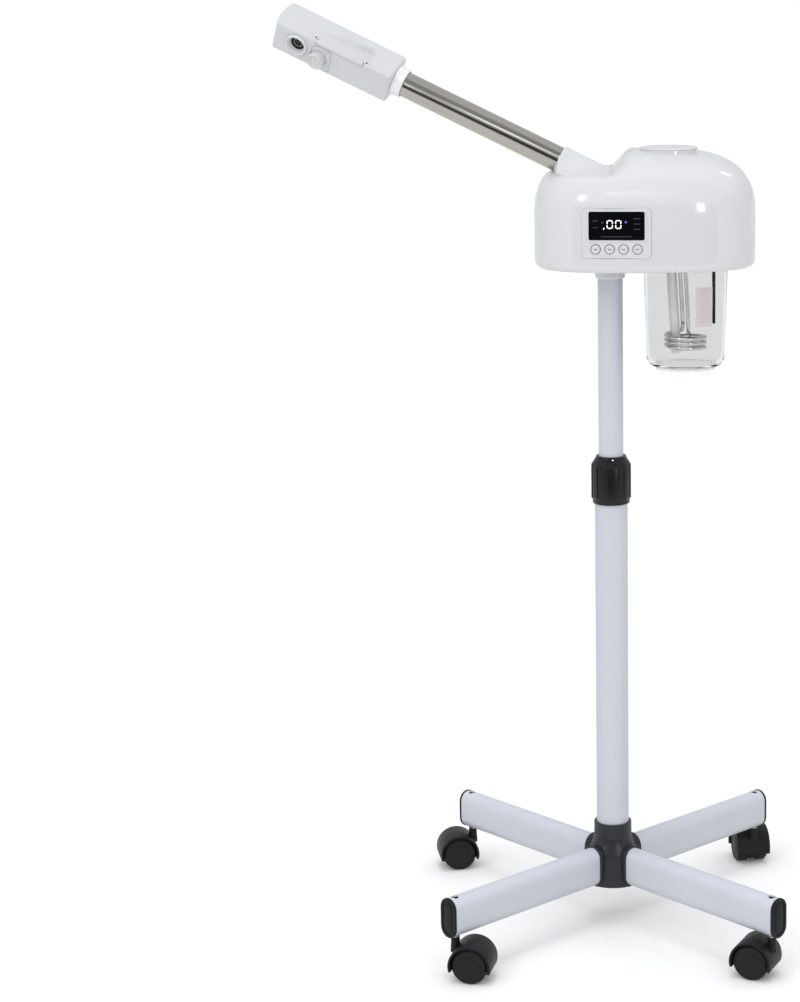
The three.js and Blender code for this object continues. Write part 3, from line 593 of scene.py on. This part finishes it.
def build_wheel(wheel_name, place):
    """One wheel and its hub cover, with the inner face at Z = 0."""
    r, w = WHEEL_RADIUS, WHEEL_WIDTH - WHEEL_GAP
    outline = rounded([(3.4, 0, 0.3), (r - 1.2, 0, 0.8), (r, 1.4, 1.2), (r, w - 2.6, 2.0),
                       (r - 2.0, w - 0.6, 0.8), (r - 2.7, w - 0.6, 0.2), (r - 3.2, w - 1.2, 0.3),
                       (r - 6, w - 1.0, 2), (7, w, 3), (3.4, w, 0.3)], closed=True)
    wheel = revolve("caster_wheel_" + wheel_name, outline, place, ring=True)
    piece(wheel, "roller_" + wheel_name, "wheel_rubber", "wheel_" + wheel_name)
    outline = rounded([(0, w - 0.9), (3.0, w - 0.9), (3.0, w + 0.1), (7, w + 0.1, 1), (8.5, w - 0.3, 1),
                       (8.5, w), (0, w + 0.35)])
    cover = revolve("wheel_cover_" + wheel_name, outline, place, 64)
    piece(cover, "roller_" + wheel_name, "wheel_rubber")


def build_caster(place_name, angle):
    swivel = turn(angle) @ move(x=CASTER_RADIUS) @ turn(CASTER_YAWS[place_name] - angle)
    axle_place = swivel @ move(x=WHEEL_TRAIL, z=AXLE_Z) @ turn(90, "X")
    outline = rounded([(0, 37.6), (2.9, 37.6), (2.9, 45.4), (4.3, 45.4, 0.2), (4.3, 46.2, 0.2),
                       (2.9, 46.3), (2.9, 82, 1.5), (0, 83.5)])
    pin = revolve("caster_pin_" + place_name, outline, swivel, 48)
    piece(pin, "base", "brushed_steel", "caster_stem_" + place_name)
    build_hood(place_name, swivel, axle_place)
    for side, flip in (("a", turn(180, "X")), ("b", Matrix())):
        build_wheel(f"{place_name}_{side}", axle_place @ flip @ move(z=WEB_WIDTH / 2 + WHEEL_GAP))


def build_stand():
    build_hub()
    for place_name, angle in LEG_ANGLES.items():
        build_leg(place_name, angle)
        build_caster(place_name, angle)


# ---------------------------------------------------------------- column
LOWER_TUBE, UPPER_TUBE, TUBE_WALL = 16.6, 12.5, 1.5
LOWER_TUBE_BOTTOM, LOWER_TUBE_TOP, UPPER_TUBE_TOP = 90.3, 452.0, 689.0
LOCK_BOTTOM, LOCK_TOP, LOCK_RADIUS = 447.3, 496.0, 20.6
RIBS_LOW, RIBS_HIGH = 453.5, 486.3
RIBS, FIRST_RIB, RIB_DEPTH = 12, 14.0, 0.85
ADAPTER_BOTTOM, SHELL_BOTTOM = 675.5, 690.4


def build_column():
    lower = tube("column_lower_tube", LOWER_TUBE, LOWER_TUBE - TUBE_WALL, LOWER_TUBE_BOTTOM, LOWER_TUBE_TOP)
    piece(lower, "base", "coated_white", "lower_mast")
    upper = tube("column_upper_tube", UPPER_TUBE, UPPER_TUBE - TUBE_WALL, UPPER_TUBE_BOTTOM, UPPER_TUBE_TOP)
    piece(upper, "mast", "coated_white", "upper_mast")

    def ribbed(r, z, angle):
        """Narrow ribs with flats between them, only on the barrel."""
        if not RIBS_LOW - 0.2 < z < RIBS_HIGH + 1.5 or r < 19.2:
            return r
        share = abs(sin(RIBS * (angle - radians(FIRST_RIB)) / 2))
        return r - RIB_DEPTH * smoothstep(share, 0.22, 0.5)

    barrel = [(17.1, LOCK_BOTTOM, 0.4), (18.7, LOCK_BOTTOM, 0.8), (19.1, RIBS_LOW - 1.2, 0.3),
              (LOCK_RADIUS, RIBS_LOW, 0.3), (LOCK_RADIUS, RIBS_LOW + 1.0), (LOCK_RADIUS, RIBS_HIGH - 0.5),
              (LOCK_RADIUS - 0.7, RIBS_HIGH + 1.0, 0.6), (17.2, 491.6, 5), (15.4, 494.5, 4),
              (15.2, LOCK_TOP, 0.8), (12.9, LOCK_TOP, 0.8), (12.9, 490.5), (17.1, 488.5)]
    collar = revolve("column_lock_collar", rounded(barrel, closed=True), segments=RIBS * 24, ring=True,
                     radius_at=ribbed)
    piece(collar, "lock_ring", "black_plastic", "lock_collar", material=SATIN_BLACK)
    # White alignment dot on the collar, made to glow: partly a printed dot, partly a painted glint.
    dot = revolve("lock_mark_and_glint", rounded([(0, 0), (0.9, 0, 0.2), (0.9, 0.35, 0.2), (0, 0.4)]),
                  move(1.7, -15.95, 493.4) @ turn(90, "X") @ turn(24, "X"), 32)
    piece(dot, "lock_ring", "natural_plastic", material=LIT_WHITE)

    low, high = ADAPTER_BOTTOM, SHELL_BOTTOM - 0.1
    adapter = rounded([(12.8, low, 0.3), (14.3, low, 0.5), (15, low + 1.4, 0.6), (15, high, 0.2),
                       (10.5, high), (10.5, 708), (8.5, 708), (8.5, 689.3), (12.8, 689.3)], closed=True)
    piece(revolve("housing_adapter", adapter, ring=True), "mast", "gloss_white", "mast_adapter")


# ---------------------------------------------------------------- housing
HOUSING_X, HALF_X, HALF_Y, PLAN_POWER = 34.3, 109.0, 90.0, 3
WALL_TOP, DOME_TOP, SHOULDER, SHELL_WALL = 735.0, 803.5, 782.0, 2.6
SHELL_AROUND = 384
FOOT_SHARE, FOOT_HEIGHT, PLATE_SHARE, PLATE_TOP = 0.958, 7.5, 0.9405, 693.6
JAR_X = 75.0
SHOULDER_BULGE = 0.08
RAMP_LOW, RAMP_HIGH = 1.6, 18.75
LID_X, LID_Y, LID_Z, LID_RADIUS = 58.0, -10.0, 803.6, 28.4
SCOOP_REACH, SCOOP_DROP = 19.5, 1.0
ARM_MOUTH = Vector((-48.9, 0, 792.8))
ARM_TILT, ARM_TURN, ARM_RADIUS = 25.6, 9.0, 12.6
BOSS_RADIUS, BOSS_SLOPE = 14.4, 1.3
INLET_Z = 722.0


def arm_matrix():
    """Frame of the arm: Z along it from the mouth of its socket, X level to the front, Y up."""
    tilt, swing = radians(ARM_TILT), radians(ARM_TURN)
    along = Vector((-cos(tilt) * cos(swing), cos(tilt) * sin(swing), sin(tilt)))
    level = Vector((0, 0, 1)).cross(along).normalized()
    up = along.cross(level)
    matrix = Matrix((level, up, along)).transposed().to_4x4()
    matrix.translation = ARM_MOUTH
    return matrix


def boss_height(x, y):
    """Height of the arm socket's round back at a point of the plan."""
    tilt, swing = radians(ARM_TILT), radians(ARM_TURN)
    dx, dy = x - ARM_MOUTH.x, y - ARM_MOUTH.y
    along = -dx * cos(swing) + dy * sin(swing)
    across = abs(dx * sin(swing) + dy * cos(swing))
    steep = BOSS_RADIUS * BOSS_SLOPE / sqrt(1 + BOSS_SLOPE ** 2)
    drop = BOSS_RADIUS - sqrt(BOSS_RADIUS ** 2 - min(across, steep) ** 2)
    drop += max(0.0, across - steep) * BOSS_SLOPE
    past_mouth = max(0.0, along + 1.0)
    return ARM_MOUTH.z + along * tan(tilt) + (BOSS_RADIUS - drop) / cos(tilt) - 6 * past_mouth


def scoop_depth(x, y):
    """Seat of the filler lid: a crescent sunk into the dome, deepest at the lid's front."""
    dx, dy = x - LID_X, y - LID_Y
    distance = max(1.0, hypot(dx, dy))
    front = max(0.0, (dx * 0.1 - dy) / distance)
    reach = LID_RADIUS + SCOOP_REACH * front ** 1.5
    fall = min(1.0, max(0.0, (reach - distance) / max(1.0, reach - LID_RADIUS)))
    return SCOOP_DROP * smoothstep(front, 0.0, 0.8) * fall


def skin_point(share, angle, height, raised):
    """Point of the housing's skin: its share of the plan, its angle, and its height."""
    c, s = cos(angle), sin(angle)
    power = (abs(c) ** PLAN_POWER + abs(s) ** PLAN_POWER) ** (1 / PLAN_POWER)
    x, y = HOUSING_X + HALF_X * share * c / power, HALF_Y * share * s / power
    shoulder = SHOULDER if raised else SHOULDER - SHELL_WALL
    if height > WALL_TOP + 20:
        low_height = -smooth_max(-height, -shoulder - (height - shoulder) * SHOULDER_BULGE, 7.0)
        ramp = -smooth_max(-(x - RAMP_LOW) / (RAMP_HIGH - RAMP_LOW), -1.0, 0.3)
        height = low_height + (height - low_height) * max(0.0, ramp)
    if height > WALL_TOP + 20:
        if raised:
            fillet = 13.0 - 12.0 * smoothstep(x, -26.0, -8.0)
            height = smooth_max(height, boss_height(x, y), fillet)
        height -= scoop_depth(x, y)
    return (x, y, height)


def dome_curve(size, top, count):
    points = []
    for i in range(1, count + 1):
        angle = pi / 2 * i / count
        share = max(0.0, cos(angle)) ** (2 / 3)
        points.append((size * share, WALL_TOP + (top - WALL_TOP) * sin(angle) ** (2 / 3)))
    points[-1] = (0.0, top)
    return points


def skin_rows(profile, raised):
    """Closed rows of the skin, one for each (share of the plan, height) of the profile."""
    angles = [2 * pi * k / SHELL_AROUND for k in range(SHELL_AROUND)]
    return [[skin_point(share, angle, height, raised) for angle in angles] for share, height in profile]


def build_shell():
    inner_share = 1 - SHELL_WALL / HALF_Y
    outside = [(FOOT_SHARE, SHELL_BOTTOM)]
    for step in range(1, 9):
        angle = pi / 2 * step / 8
        outside.append((FOOT_SHARE + (1 - FOOT_SHARE) * sin(angle),
                        SHELL_BOTTOM + FOOT_HEIGHT * (1 - cos(angle))))
    outside += [(1.0, 712.0), (1.0, 724.0), (1.0, WALL_TOP)] + dome_curve(1.0, DOME_TOP, 80)
    inside = [(0.945, SHELL_BOTTOM), (0.945, SHELL_BOTTOM + 4.2), (inner_share, 701.0)]
    inside += [(inner_share, WALL_TOP)] + dome_curve(inner_share, DOME_TOP - SHELL_WALL, 24)

    shell = loft("housing_cover", list(reversed(skin_rows(inside, False))) + skin_rows(outside, True))
    arm = arm_matrix()
    mouth_cut = revolve("mouth_cut", [(BOSS_RADIUS + 0.45, 0), (BOSS_RADIUS + 0.45, 90)], arm)
    bore = revolve("bore", [(ARM_RADIUS + 0.4, -88), (ARM_RADIUS + 0.4, 10)], arm, 64)
    lid_hole = revolve("lid_hole", [(24.6, 770), (24.6, 830)], move(LID_X, LID_Y), 64)
    window = plate("window", [box_outline(PANEL_WIDTH + 0.6, PANEL_HEIGHT + 0.6, 5)], 30, 0.01,
                   panel_matrix() @ move(z=-14))
    inlet = plate("inlet", [box_outline(28.6, 20.6, 0.8)], 30, 0.01,
                  move(HOUSING_X, HALF_Y + 12, INLET_Z) @ turn(90, "X"))
    cut(shell, mouth_cut, bore, lid_hole, window, inlet)
    smooth(shell, 58)
    piece(shell, "housing", "gloss_white", "housing_shell")

    ring = rounded([(ARM_RADIUS + 0.4, -6, 0.2), (BOSS_RADIUS + 0.4, -6, 0.8), (BOSS_RADIUS + 0.4, 0.2, 0.9),
                    (ARM_RADIUS + 0.4, 0.2, 0.4)], closed=True)
    lip = revolve("arm_socket_lip", ring, arm, ring=True)
    piece(lip, "housing", "gloss_white")


def build_filler():
    place = move(LID_X, LID_Y)
    seat = tube("filler_neck", LID_RADIUS - 0.1, 24.3, 788, LID_Z - 0.1, place, edge=0.15)
    piece(seat, "housing", "gloss_white")
    outline = rounded([(0, 801), (22, 801), (22, 791), (23.9, 791, 0.3), (23.9, LID_Z),
                       (LID_RADIUS, LID_Z, 0.3), (LID_RADIUS, LID_Z + 1.2, 0.6),
                       (27, LID_Z + 2.3, 1.2), (0, LID_Z + 2.7)])
    piece(revolve("filler_cap", outline, place, 128), "lid", "gloss_white", "filler_lid")


def build_housing_floor():
    outline = [skin_point(PLATE_SHARE, 2 * pi * k / SHELL_AROUND, 0, False)[:2] for k in range(SHELL_AROUND)]
    feet = [(-38, -52), (-38, 52), (0, -70), (0, 70)]
    holes = [disc_outline(43.4, JAR_X, count=96), disc_outline(10.9)]
    holes += [disc_outline(2.6, x, y) for x, y in feet]
    floor = plate("housing_floor", [outline] + holes, PLATE_TOP - SHELL_BOTTOM - 0.2, 0.4,
                  move(z=SHELL_BOTTOM + 0.2))
    piece(floor, "housing", "gloss_white", "base_plate")
    outline = rounded([(0, 0.6), (2.3, 0.6, 0.4), (2.3, 2.6), (1.2, 2.6), (1.2, 9), (0, 9)])
    for k, (x, y) in enumerate(feet, start=1):
        screw = revolve(f"floor_screw_{k}", outline, move(x, y, SHELL_BOTTOM), 32)
        cut(screw, plate("slot", [box_outline(3.4, 0.7, 0.1)], 2, 0.01, move(x, y, SHELL_BOTTOM - 0.7)))
        piece(screw, "housing", "brushed_steel")


def build_inlet():
    """Three-pin mains inlet in the back of the housing; Z of its frame points out of it."""
    back = move(HOUSING_X, HALF_Y + 2, INLET_Z) @ turn(180) @ turn(90, "X")
    socket = plate("mains_socket", [box_outline(28, 20, 1.2), box_outline(21, 13, 2.5)], 14, 0.5,
                   back @ move(z=-14))
    piece(socket, "housing", "black_plastic", "mains_inlet")
    rear = plate("mains_socket_back", [box_outline(28, 20, 1.2)], 3.8, 0.4, back @ move(z=-17.9))
    piece(rear, "housing", "black_plastic")
    for k, (x, y) in enumerate(((-6.5, -1.5), (0, 2), (6.5, -1.5)), start=1):
        pin = plate(f"mains_pin_{k}", [box_outline(1.9, 4, 0.3)], 13, 0.3, back @ move(x, y, -14.5))
        piece(pin, "housing", "brushed_steel", material=BRASS)


# ---------------------------------------------------------------- control panel
PANEL_X, PANEL_Y, PANEL_Z, PANEL_YAW = 6.3, -88.2, 729.0, -4.8
PANEL_WIDTH, PANEL_HEIGHT = 66.0, 48.0
SCREEN_WIDTH, SCREEN_HEIGHT, SCREEN_Z = 53.2, 26.8, 7.0
BUTTON_PITCH, BUTTON_RADIUS, BUTTON_Z = 13.4, 4.6, -15.3
DIGIT_CENTRES, DIGIT_WIDTH, DIGIT_HEIGHT, DIGIT_BAR = (-6.5, 1.7), 5.9, 8.3, 0.95
MARK_DEPTH = -0.32


def panel_matrix():
    """Frame of the panel's face: X to the right, Y up, Z out to the front."""
    return move(PANEL_X, PANEL_Y, PANEL_Z) @ turn(PANEL_YAW) @ turn(90, "X")


def segment_bars(width, height, thick):
    """The six bars of a display zero as (centre x, centre y, length, upright)."""
    half = height / 2
    top, side = half - thick / 2, width / 2 - thick / 2
    bars = [(0, top, width - thick * 1.75, False), (0, -top, width - thick * 1.75, False)]
    for x in (-side, side):
        for y in (half / 2 - thick / 8, thick / 8 - half / 2):
            bars.append((x, y, half - thick * 0.95, True))
    return bars


def bar_outline(x, y, length, thick, upright):
    """Bar with pointed ends, as on a seven-segment display."""
    l, t = length / 2, thick / 2
    points = [(-l, 0), (-l + t, -t), (l - t, -t), (l, 0), (l - t, t), (-l + t, t)]
    if upright:
        points = [(-b, a) for a, b in points]
    return [(x + a, y + b) for a, b in points]


def build_panel():
    face = panel_matrix()
    buttons = [(step * BUTTON_PITCH, BUTTON_Z) for step in (-1.5, -0.5, 0.5, 1.5)]
    outlines = [box_outline(PANEL_WIDTH + 0.3, PANEL_HEIGHT + 0.3, 4.85),
                box_outline(SCREEN_WIDTH + 0.6, SCREEN_HEIGHT + 0.6, 2, y=SCREEN_Z)]
    outlines += [disc_outline(BUTTON_RADIUS + 0.3, x, y) for x, y in buttons]
    panel = plate("panel_plate", outlines, 3, 0.35, face @ move(z=-3))
    piece(panel, "housing", "gloss_white", "control_panel")
    bezel = plate("screen_bezel", [box_outline(SCREEN_WIDTH + 4.2, SCREEN_HEIGHT + 4.2, 3, y=SCREEN_Z),
                                   box_outline(SCREEN_WIDTH + 0.8, SCREEN_HEIGHT + 0.8, 2, y=SCREEN_Z)],
                  0.7, 0.3, face @ move(z=-0.1))
    piece(bezel, "housing", "gloss_white")
    screen = plate("display_screen", [box_outline(SCREEN_WIDTH, SCREEN_HEIGHT, 1.6, y=SCREEN_Z)], 2, 0.2,
                   face @ move(z=-2.3))
    piece(screen, "housing", "screen", "display_window")

    glass = face @ move(z=MARK_DEPTH)
    digits = []
    for centre in DIGIT_CENTRES:
        for x, y, length, upright in segment_bars(DIGIT_WIDTH, DIGIT_HEIGHT, DIGIT_BAR):
            digits.append(bar_outline(centre + x, SCREEN_Z + 1.5 + y, length, DIGIT_BAR, upright))
    piece(plate("display_digits", digits, 0.16, 0.04, glass), "housing", "screen", material=LIT_WHITE)
    drop = [(-12.6, 5.4), (-11.7, 5.4), (-12.1, 3.4), (-12.9, 3.7)]
    mark = plate("display_point", [drop], 0.16, 0.04, glass)
    piece(mark, "housing", "screen", material=LIT_WHITE)
    piece(plate("display_lamp_red", [disc_outline(1.0, -13.6, SCREEN_Z + 3.2, 24)], 0.16, 0.04, glass),
          "housing", "screen", material=LIT_RED)
    piece(plate("display_lamp_violet", [disc_outline(1.1, 8.9, SCREEN_Z + 3.8, 24)], 0.16, 0.04, glass),
          "housing", "screen", material=LIT_VIOLET)

    dashes = [box_outline(6.5, 0.8, 0.3, 19.5, SCREEN_Z + y) for y in (7.0, 2.0, -3.0)]
    dashes += [box_outline(5.0, 0.8, 0.3, -20.5, SCREEN_Z + y) for y in (5.0, -1.5)]
    dashes.append(box_outline(30.0, 0.7, 0.3, 0.0, SCREEN_Z - 10.2))
    piece(plate("display_dashes", dashes, 0.12, 0.03, glass), "housing", "screen", material=SCREEN_MARK)

    cap = rounded([(0, 0), (BUTTON_RADIUS, 0), (BUTTON_RADIUS, 3.9, 0.4), (3.2, 4.3, 2), (0, 4.2)])
    for i, (x, y) in enumerate(buttons, start=1):
        button = revolve(f"button_cap_{i}", cap, face @ move(x, y, -3.4), 64)
        piece(button, f"key_{i}", "gloss_white", f"button_{i}")
        ring = tube(f"button_ring_{i}", 4.45, 4.0, 0.42, 0.66, face @ move(x, y), edge=0.08)
        piece(ring, f"key_{i}", "gloss_white", material=MARK_GREY)
        dash = plate(f"button_dash_{i}", [box_outline(3.4, 0.9, 0.4)], 0.25, 0.06, face @ move(x, y, 0.68))
        piece(dash, f"key_{i}", "gloss_white", material=MARK_GREY)


# ---------------------------------------------------------------- jar and heater
JAR_TOP, JAR_BOTTOM = 703.7, 584.7
COIL_RADIUS, COIL_TOP, COIL_BOTTOM, COIL_TURNS, COIL_WIRE = 19.8, 618.7, 605.7, 2.75, 2.1
COIL_START, COIL_POINTS = pi / 2 + 0.35, 56
LEVEL_X = JAR_X + 28.2


def build_jar():
    outline = [(0, 586.6), (27.2, 586.6, 0.6), (27.4, JAR_BOTTOM, 0.5), (29.5, JAR_BOTTOM, 0.6),
               (29.9, 587.2, 0.5), (35.2, 588.2, 4), (38.8, 594.5, 5), (39.7, 620), (42.3, JAR_TOP, 0.6),
               (39.8, JAR_TOP, 0.6), (37.2, 620), (36.4, 597.0, 4), (32.8, 590.8, 3), (0, 590.4)]
    jar = revolve("water_jar", rounded(outline), move(JAR_X), 128)
    piece(jar, "jar_body", "clear_plastic", "jar")
    rows = []
    for reach, z in ((40.62, 631), (40.87, 631), (42.05, 670), (41.8, 670)):
        angles = [radians(a) for a in range(12, 40, 2)]
        rows.append([(reach * sin(a), -reach * cos(a), z) for a in angles])
    label = loft("jar_label", rows, move(JAR_X), ring=True)
    piece(label, "jar_body", "clear_plastic", material=LABEL)


def build_heater():
    """Coil of steel rod between two legs that go up into the housing, and the steam pipe."""
    points = [(-6.8, 0, 705.7), (-4.4, 0, 660), (-2.8, 0, 635), (-2.5, 3, 625), (-4, 14, 620.5)]
    for i in range(COIL_POINTS + 1):
        share = i / COIL_POINTS
        angle = COIL_START + share * (COIL_TURNS * 2 * pi - 0.35)
        points.append((COIL_RADIUS * cos(angle), COIL_RADIUS * sin(angle),
                       COIL_TOP + share * (COIL_BOTTOM - COIL_TOP)))
    points += [(14, 11, 604.6), (8, 9, 604), (4.4, 4.5, 605.5), (3.6, 0.5, 612), (3.0, 0, 625),
               (1.2, 0, 660), (-1.2, 0, 705.7)]
    coil = bent_rod("heater_coil", points, COIL_WIRE, move(JAR_X))
    piece(coil, "housing", "brushed_steel", "heating_coil", material=POLISHED_STEEL)
    lean = move(JAR_X - 9.2, 0, 600.4) @ turn(-3.5, "Y")
    pipe = tube("steam_pipe", 5.0, 3.8, 0, 105.5, lean)
    piece(pipe, "housing", "brushed_steel", "steam_tube", material=MATT_STEEL)


def build_level_rod():
    strip = plate("level_strip", [box_outline(3.4, 74, 1.2)], 0.8, 0.2,
                  move(LEVEL_X, 4.4, 668) @ turn(90, "X"))
    piece(strip, "housing", "brushed_steel", material=NATURAL)
    rod = plate("level_rod", [box_outline(3, 74, 1.2)], 1.6, 0.3, move(LEVEL_X, 0.8, 666) @ turn(90, "X"))
    piece(rod, "housing", "black_plastic", "level_probe")


# ---------------------------------------------------------------- arm and head
HEAD_ROLL = -35.0
HEAD_WIDE, HEAD_DEEP = 38.4, 33.0
HEAD_START, HEAD_END, END_BULGE = 182.4, 311.5, 2.6
NECK_START = 172.2
ARM_START, ARM_END, ARM_WALL = -45.0, 180.0, 1.2
HEAD_ROUND, HEAD_ROWS = 2.6, 80
NOZZLE_U, NOZZLE_V, NOZZLE_RADIUS, NOZZLE_RISE = 285.0, 1.2, 11.6, 2.8
CUP_U, CUP_V, CUP_RADIUS, CUP_RISE = 260.5, -2.3, 8.6, 8.0
SCOOP_START, SCOOP_END, SCOOP_DEPTH = 214.0, 282.0, 5.8
GRIP_RADIUS, GRIP_START, GRIP_END = 2.7, 214.0, 266.0
RAIL_ENDS = ((268.6, 13.6), (211.5, 15.2))
FACE = HEAD_WIDE / 2
TOP = HEAD_DEEP / 2


def head_matrix():
    return arm_matrix() @ turn(HEAD_ROLL)


def facing(u, v, face=FACE):
    """Frame in the head whose Z points out of the nozzle face, at u along the arm and v across."""
    return head_matrix() @ move(face, v, u) @ turn(90, "Y")


def on_top(u, x):
    """Frame in the head whose Z points out of the top face."""
    return head_matrix() @ move(x, TOP, u) @ turn(-90, "X")


def dense(outline):
    """Closed outline with points added on its long sides, at most about 1.5 mm apart."""
    points = []
    for k, point in enumerate(outline):
        start, end = Vector(outline[k - 1]), Vector(point)
        count = max(1, int((end - start).length / 1.5))
        points += [tuple(start.lerp(end, (n + 1) / count)) for n in range(count)]
    return points


def grip_scoop(x, u):
    """Depth of the finger scoop in the head's top: a wedge, deepest beside the neck."""
    if u >= SCOOP_START:
        along = (u - SCOOP_START) / (SCOOP_END - SCOOP_START)
        depth = SCOOP_DEPTH * max(0.0, 1 - along)
    else:
        along = 0.0
        depth = SCOOP_DEPTH * max(0.0, 1 - (SCOOP_START - u) / 5.0)
    back = -10.5 + 13.5 * along
    return depth * smoothstep(x, back, back + 6) * (1 - smoothstep(x, 13.5, 16.5))


def head_loop(inset, u):
    """Cross-section of the head at u along the arm, shrunk by inset at its rounded ends."""
    corners = [(FACE, -TOP, 2.2), (FACE, TOP, 1.5), (3, TOP + 0.8, 40), (-FACE, TOP - 0.3, 3.5),
               (-FACE, -TOP, 5)]
    share = 1 - inset / TOP
    bulge = END_BULGE * smoothstep(u, HEAD_END - 26, HEAD_END)
    loop = []
    for x, y in dense(rounded(corners, closed=True, steps=6)):
        if y > TOP - 2:
            y -= grip_scoop(x, u)
        loop.append((x * share, y * share, u + bulge * (0.6 - (x / FACE) ** 2)))
    return loop


def grip_matrix():
    """Frame of the grip rail: Z along it, at the edge between the nozzle face and the top."""
    return head_matrix() @ move(FACE - 1.4, TOP - 1.0)


def build_arm():
    pipe = tube("arm_pipe", ARM_RADIUS, ARM_RADIUS - ARM_WALL, ARM_START, ARM_END, arm_matrix(), edge=0.3)
    piece(pipe, "arm", "brushed_steel", "arm_tube", material=BRUSHED_STEEL)


def build_head_shell():
    head = head_matrix()
    ends = [(HEAD_ROUND * (1 - sin(t * pi / 12)), HEAD_ROUND * (1 - cos(t * pi / 12))) for t in range(7)]
    first, last = HEAD_START + HEAD_ROUND, HEAD_END - HEAD_ROUND
    loops = [head_loop(inset, HEAD_START + rise) for inset, rise in ends]
    loops += [head_loop(0, first + (last - first) * k / HEAD_ROWS) for k in range(1, HEAD_ROWS)]
    loops += [head_loop(inset, HEAD_END - rise) for inset, rise in reversed(ends)]
    shell = loft("head_body", loops, head)

    groove = [(GRIP_RADIUS + 0.3, GRIP_START - 0.3), (GRIP_RADIUS + 0.3, GRIP_END + 0.3)]
    neck_hole = [(ARM_RADIUS + 0.3, HEAD_START - 5), (ARM_RADIUS + 0.3, HEAD_START + 10)]
    cup_well = [(0, -10), (CUP_RADIUS + 0.3, -10), (CUP_RADIUS + 0.3, 4)]
    racetrack = [box_outline(22.8, 30.2, 9.1), box_outline(21.0, 28.4, 8.2)]
    cuts = [revolve("groove", groove, grip_matrix(), 48),
            plate("racetrack", racetrack, 2, 0.01, facing(257.9, -2.2, FACE - 0.8)),
            revolve("funnel", [(0, -8), (8.6, -8), (8.6, 4)], facing(NOZZLE_U, NOZZLE_V), 64),
            revolve("cup_well", cup_well, facing(CUP_U, CUP_V), 64),
            revolve("neck_hole", neck_hole, head, 64),
            plate("notch", [box_outline(5, 2.4, 0.6)], 4, 0.3, facing(217, -TOP + 1.5) @ turn(90))]
    cuts += [revolve("lug_hole", [(1.5, -3.5), (1.5, 3)], on_top(u, x), 24) for u, x in RAIL_ENDS]
    cut(shell, *cuts)
    # The head's white is painted darker, as painted shade.
    piece(shell, "head", "gloss_white", "head_shell", material=HEAD_SHADED_WHITE)


def build_rail_ends():
    outline = rounded([(0, -3.2), (1.2, -3.2), (1.2, -0.4, 0.3), (0, -0.3)])
    for k, (u, x) in enumerate(RAIL_ENDS, start=1):
        ring = tube(f"rail_lug_{k}", 2.7, 1.3, -1.5, 0.7, on_top(u, x), edge=0.3)
        piece(ring, "head", "gloss_white")
        # A black plug sunk in each lug hole: painted shade that darkens the hole.
        screw = revolve(f"rail_hole_shade_{k}", outline, on_top(u, x), 24)
        piece(screw, "head", "black_plastic", material=SATIN_BLACK)


def build_neck():
    outline = rounded([(ARM_RADIUS + 0.3, NECK_START, 0.3), (14.3, NECK_START, 0.7),
                       (14.6, HEAD_START - 4, 2), (16.2, HEAD_START - 0.2, 0.3),
                       (ARM_RADIUS + 0.3, HEAD_START - 0.2)], closed=True)
    neck = revolve("head_collar", outline, head_matrix(), ring=True)
    # The collar's white is painted brighter, as painted light.
    piece(neck, "head", "gloss_white", "head_neck", material=COLLAR_LIT_WHITE)


def build_nozzle():
    """Funnel of the nozzle, its dark bore and the eyelet and jet at the bottom of it."""
    place = facing(NOZZLE_U, NOZZLE_V)
    radius, rim = NOZZLE_RADIUS, NOZZLE_RISE
    funnel = rounded([(7.3, -6), (8.3, -6), (8.3, 0.3), (radius + 0.8, 0.3, 0.3), (radius, rim - 0.8, 0.8),
                      (radius - 0.8, rim, 0.5), (radius - 1.6, rim - 0.1, 0.5), (7.7, -1.6, 0.4),
                      (7.3, -2.4)], closed=True)
    piece(revolve("nozzle_funnel", funnel, place, ring=True), "head", "gloss_white", "nozzle_ring")
    bore = rounded([(0, -6), (7.0, -6), (7.0, -2.6, 0.4), (6.2, -2.4, 0.3), (5.6, -4.2, 0.3),
                    (3.6, -4.4, 0.3), (3.3, -5.2), (0, -5.4)])
    piece(revolve("nozzle_bore", bore, place, 64), "head", "black_plastic", "nozzle_core",
          material=SATIN_BLACK)
    eyelet = tube("nozzle_eyelet", 5.2, 3.7, -4.3, -3.6, place, edge=0.3)
    piece(eyelet, "head", "brushed_steel", material=MARK_GREY)
    jet = rounded([(0, -5.2), (3.1, -5.2), (3.1, -4.6, 0.5), (0, -4.1)])
    piece(revolve("nozzle_jet", jet, place, 32), "head", "black_plastic", material=JET_RED)


def build_cup():
    outline = rounded([(0, -9), (CUP_RADIUS, -9, 1.5), (CUP_RADIUS, CUP_RISE, 0.8),
                       (CUP_RADIUS - 1.8, CUP_RISE, 0.6), (CUP_RADIUS - 2.2, CUP_RISE - 1.8, 0.6),
                       (0, CUP_RISE - 1.8)])
    cup = revolve("aroma_jar", outline, facing(CUP_U, CUP_V))
    piece(cup, "cup", "clear_plastic", "aroma_cup", material=FROSTED)


def build_grip_rail():
    outline = rounded([(0, GRIP_START), (GRIP_RADIUS, GRIP_START, 1.2), (GRIP_RADIUS, GRIP_END, 1.2),
                       (0, GRIP_END)])
    rail = revolve("grip_rail", outline, grip_matrix(), 48)
    # Same darker white as the head: painted shade.
    piece(rail, "head", "gloss_white", "grip_bar", material=HEAD_SHADED_WHITE)


make_camera()
make_studio()
dress_cad_nodes()
build_stand()
build_column()
build_shell()
build_filler()
build_housing_floor()
build_inlet()
build_panel()
build_jar()
build_heater()
build_level_rod()
build_arm()
build_head_shell()
build_rail_ends()
build_neck()
build_nozzle()
build_cup()
build_grip_rail()
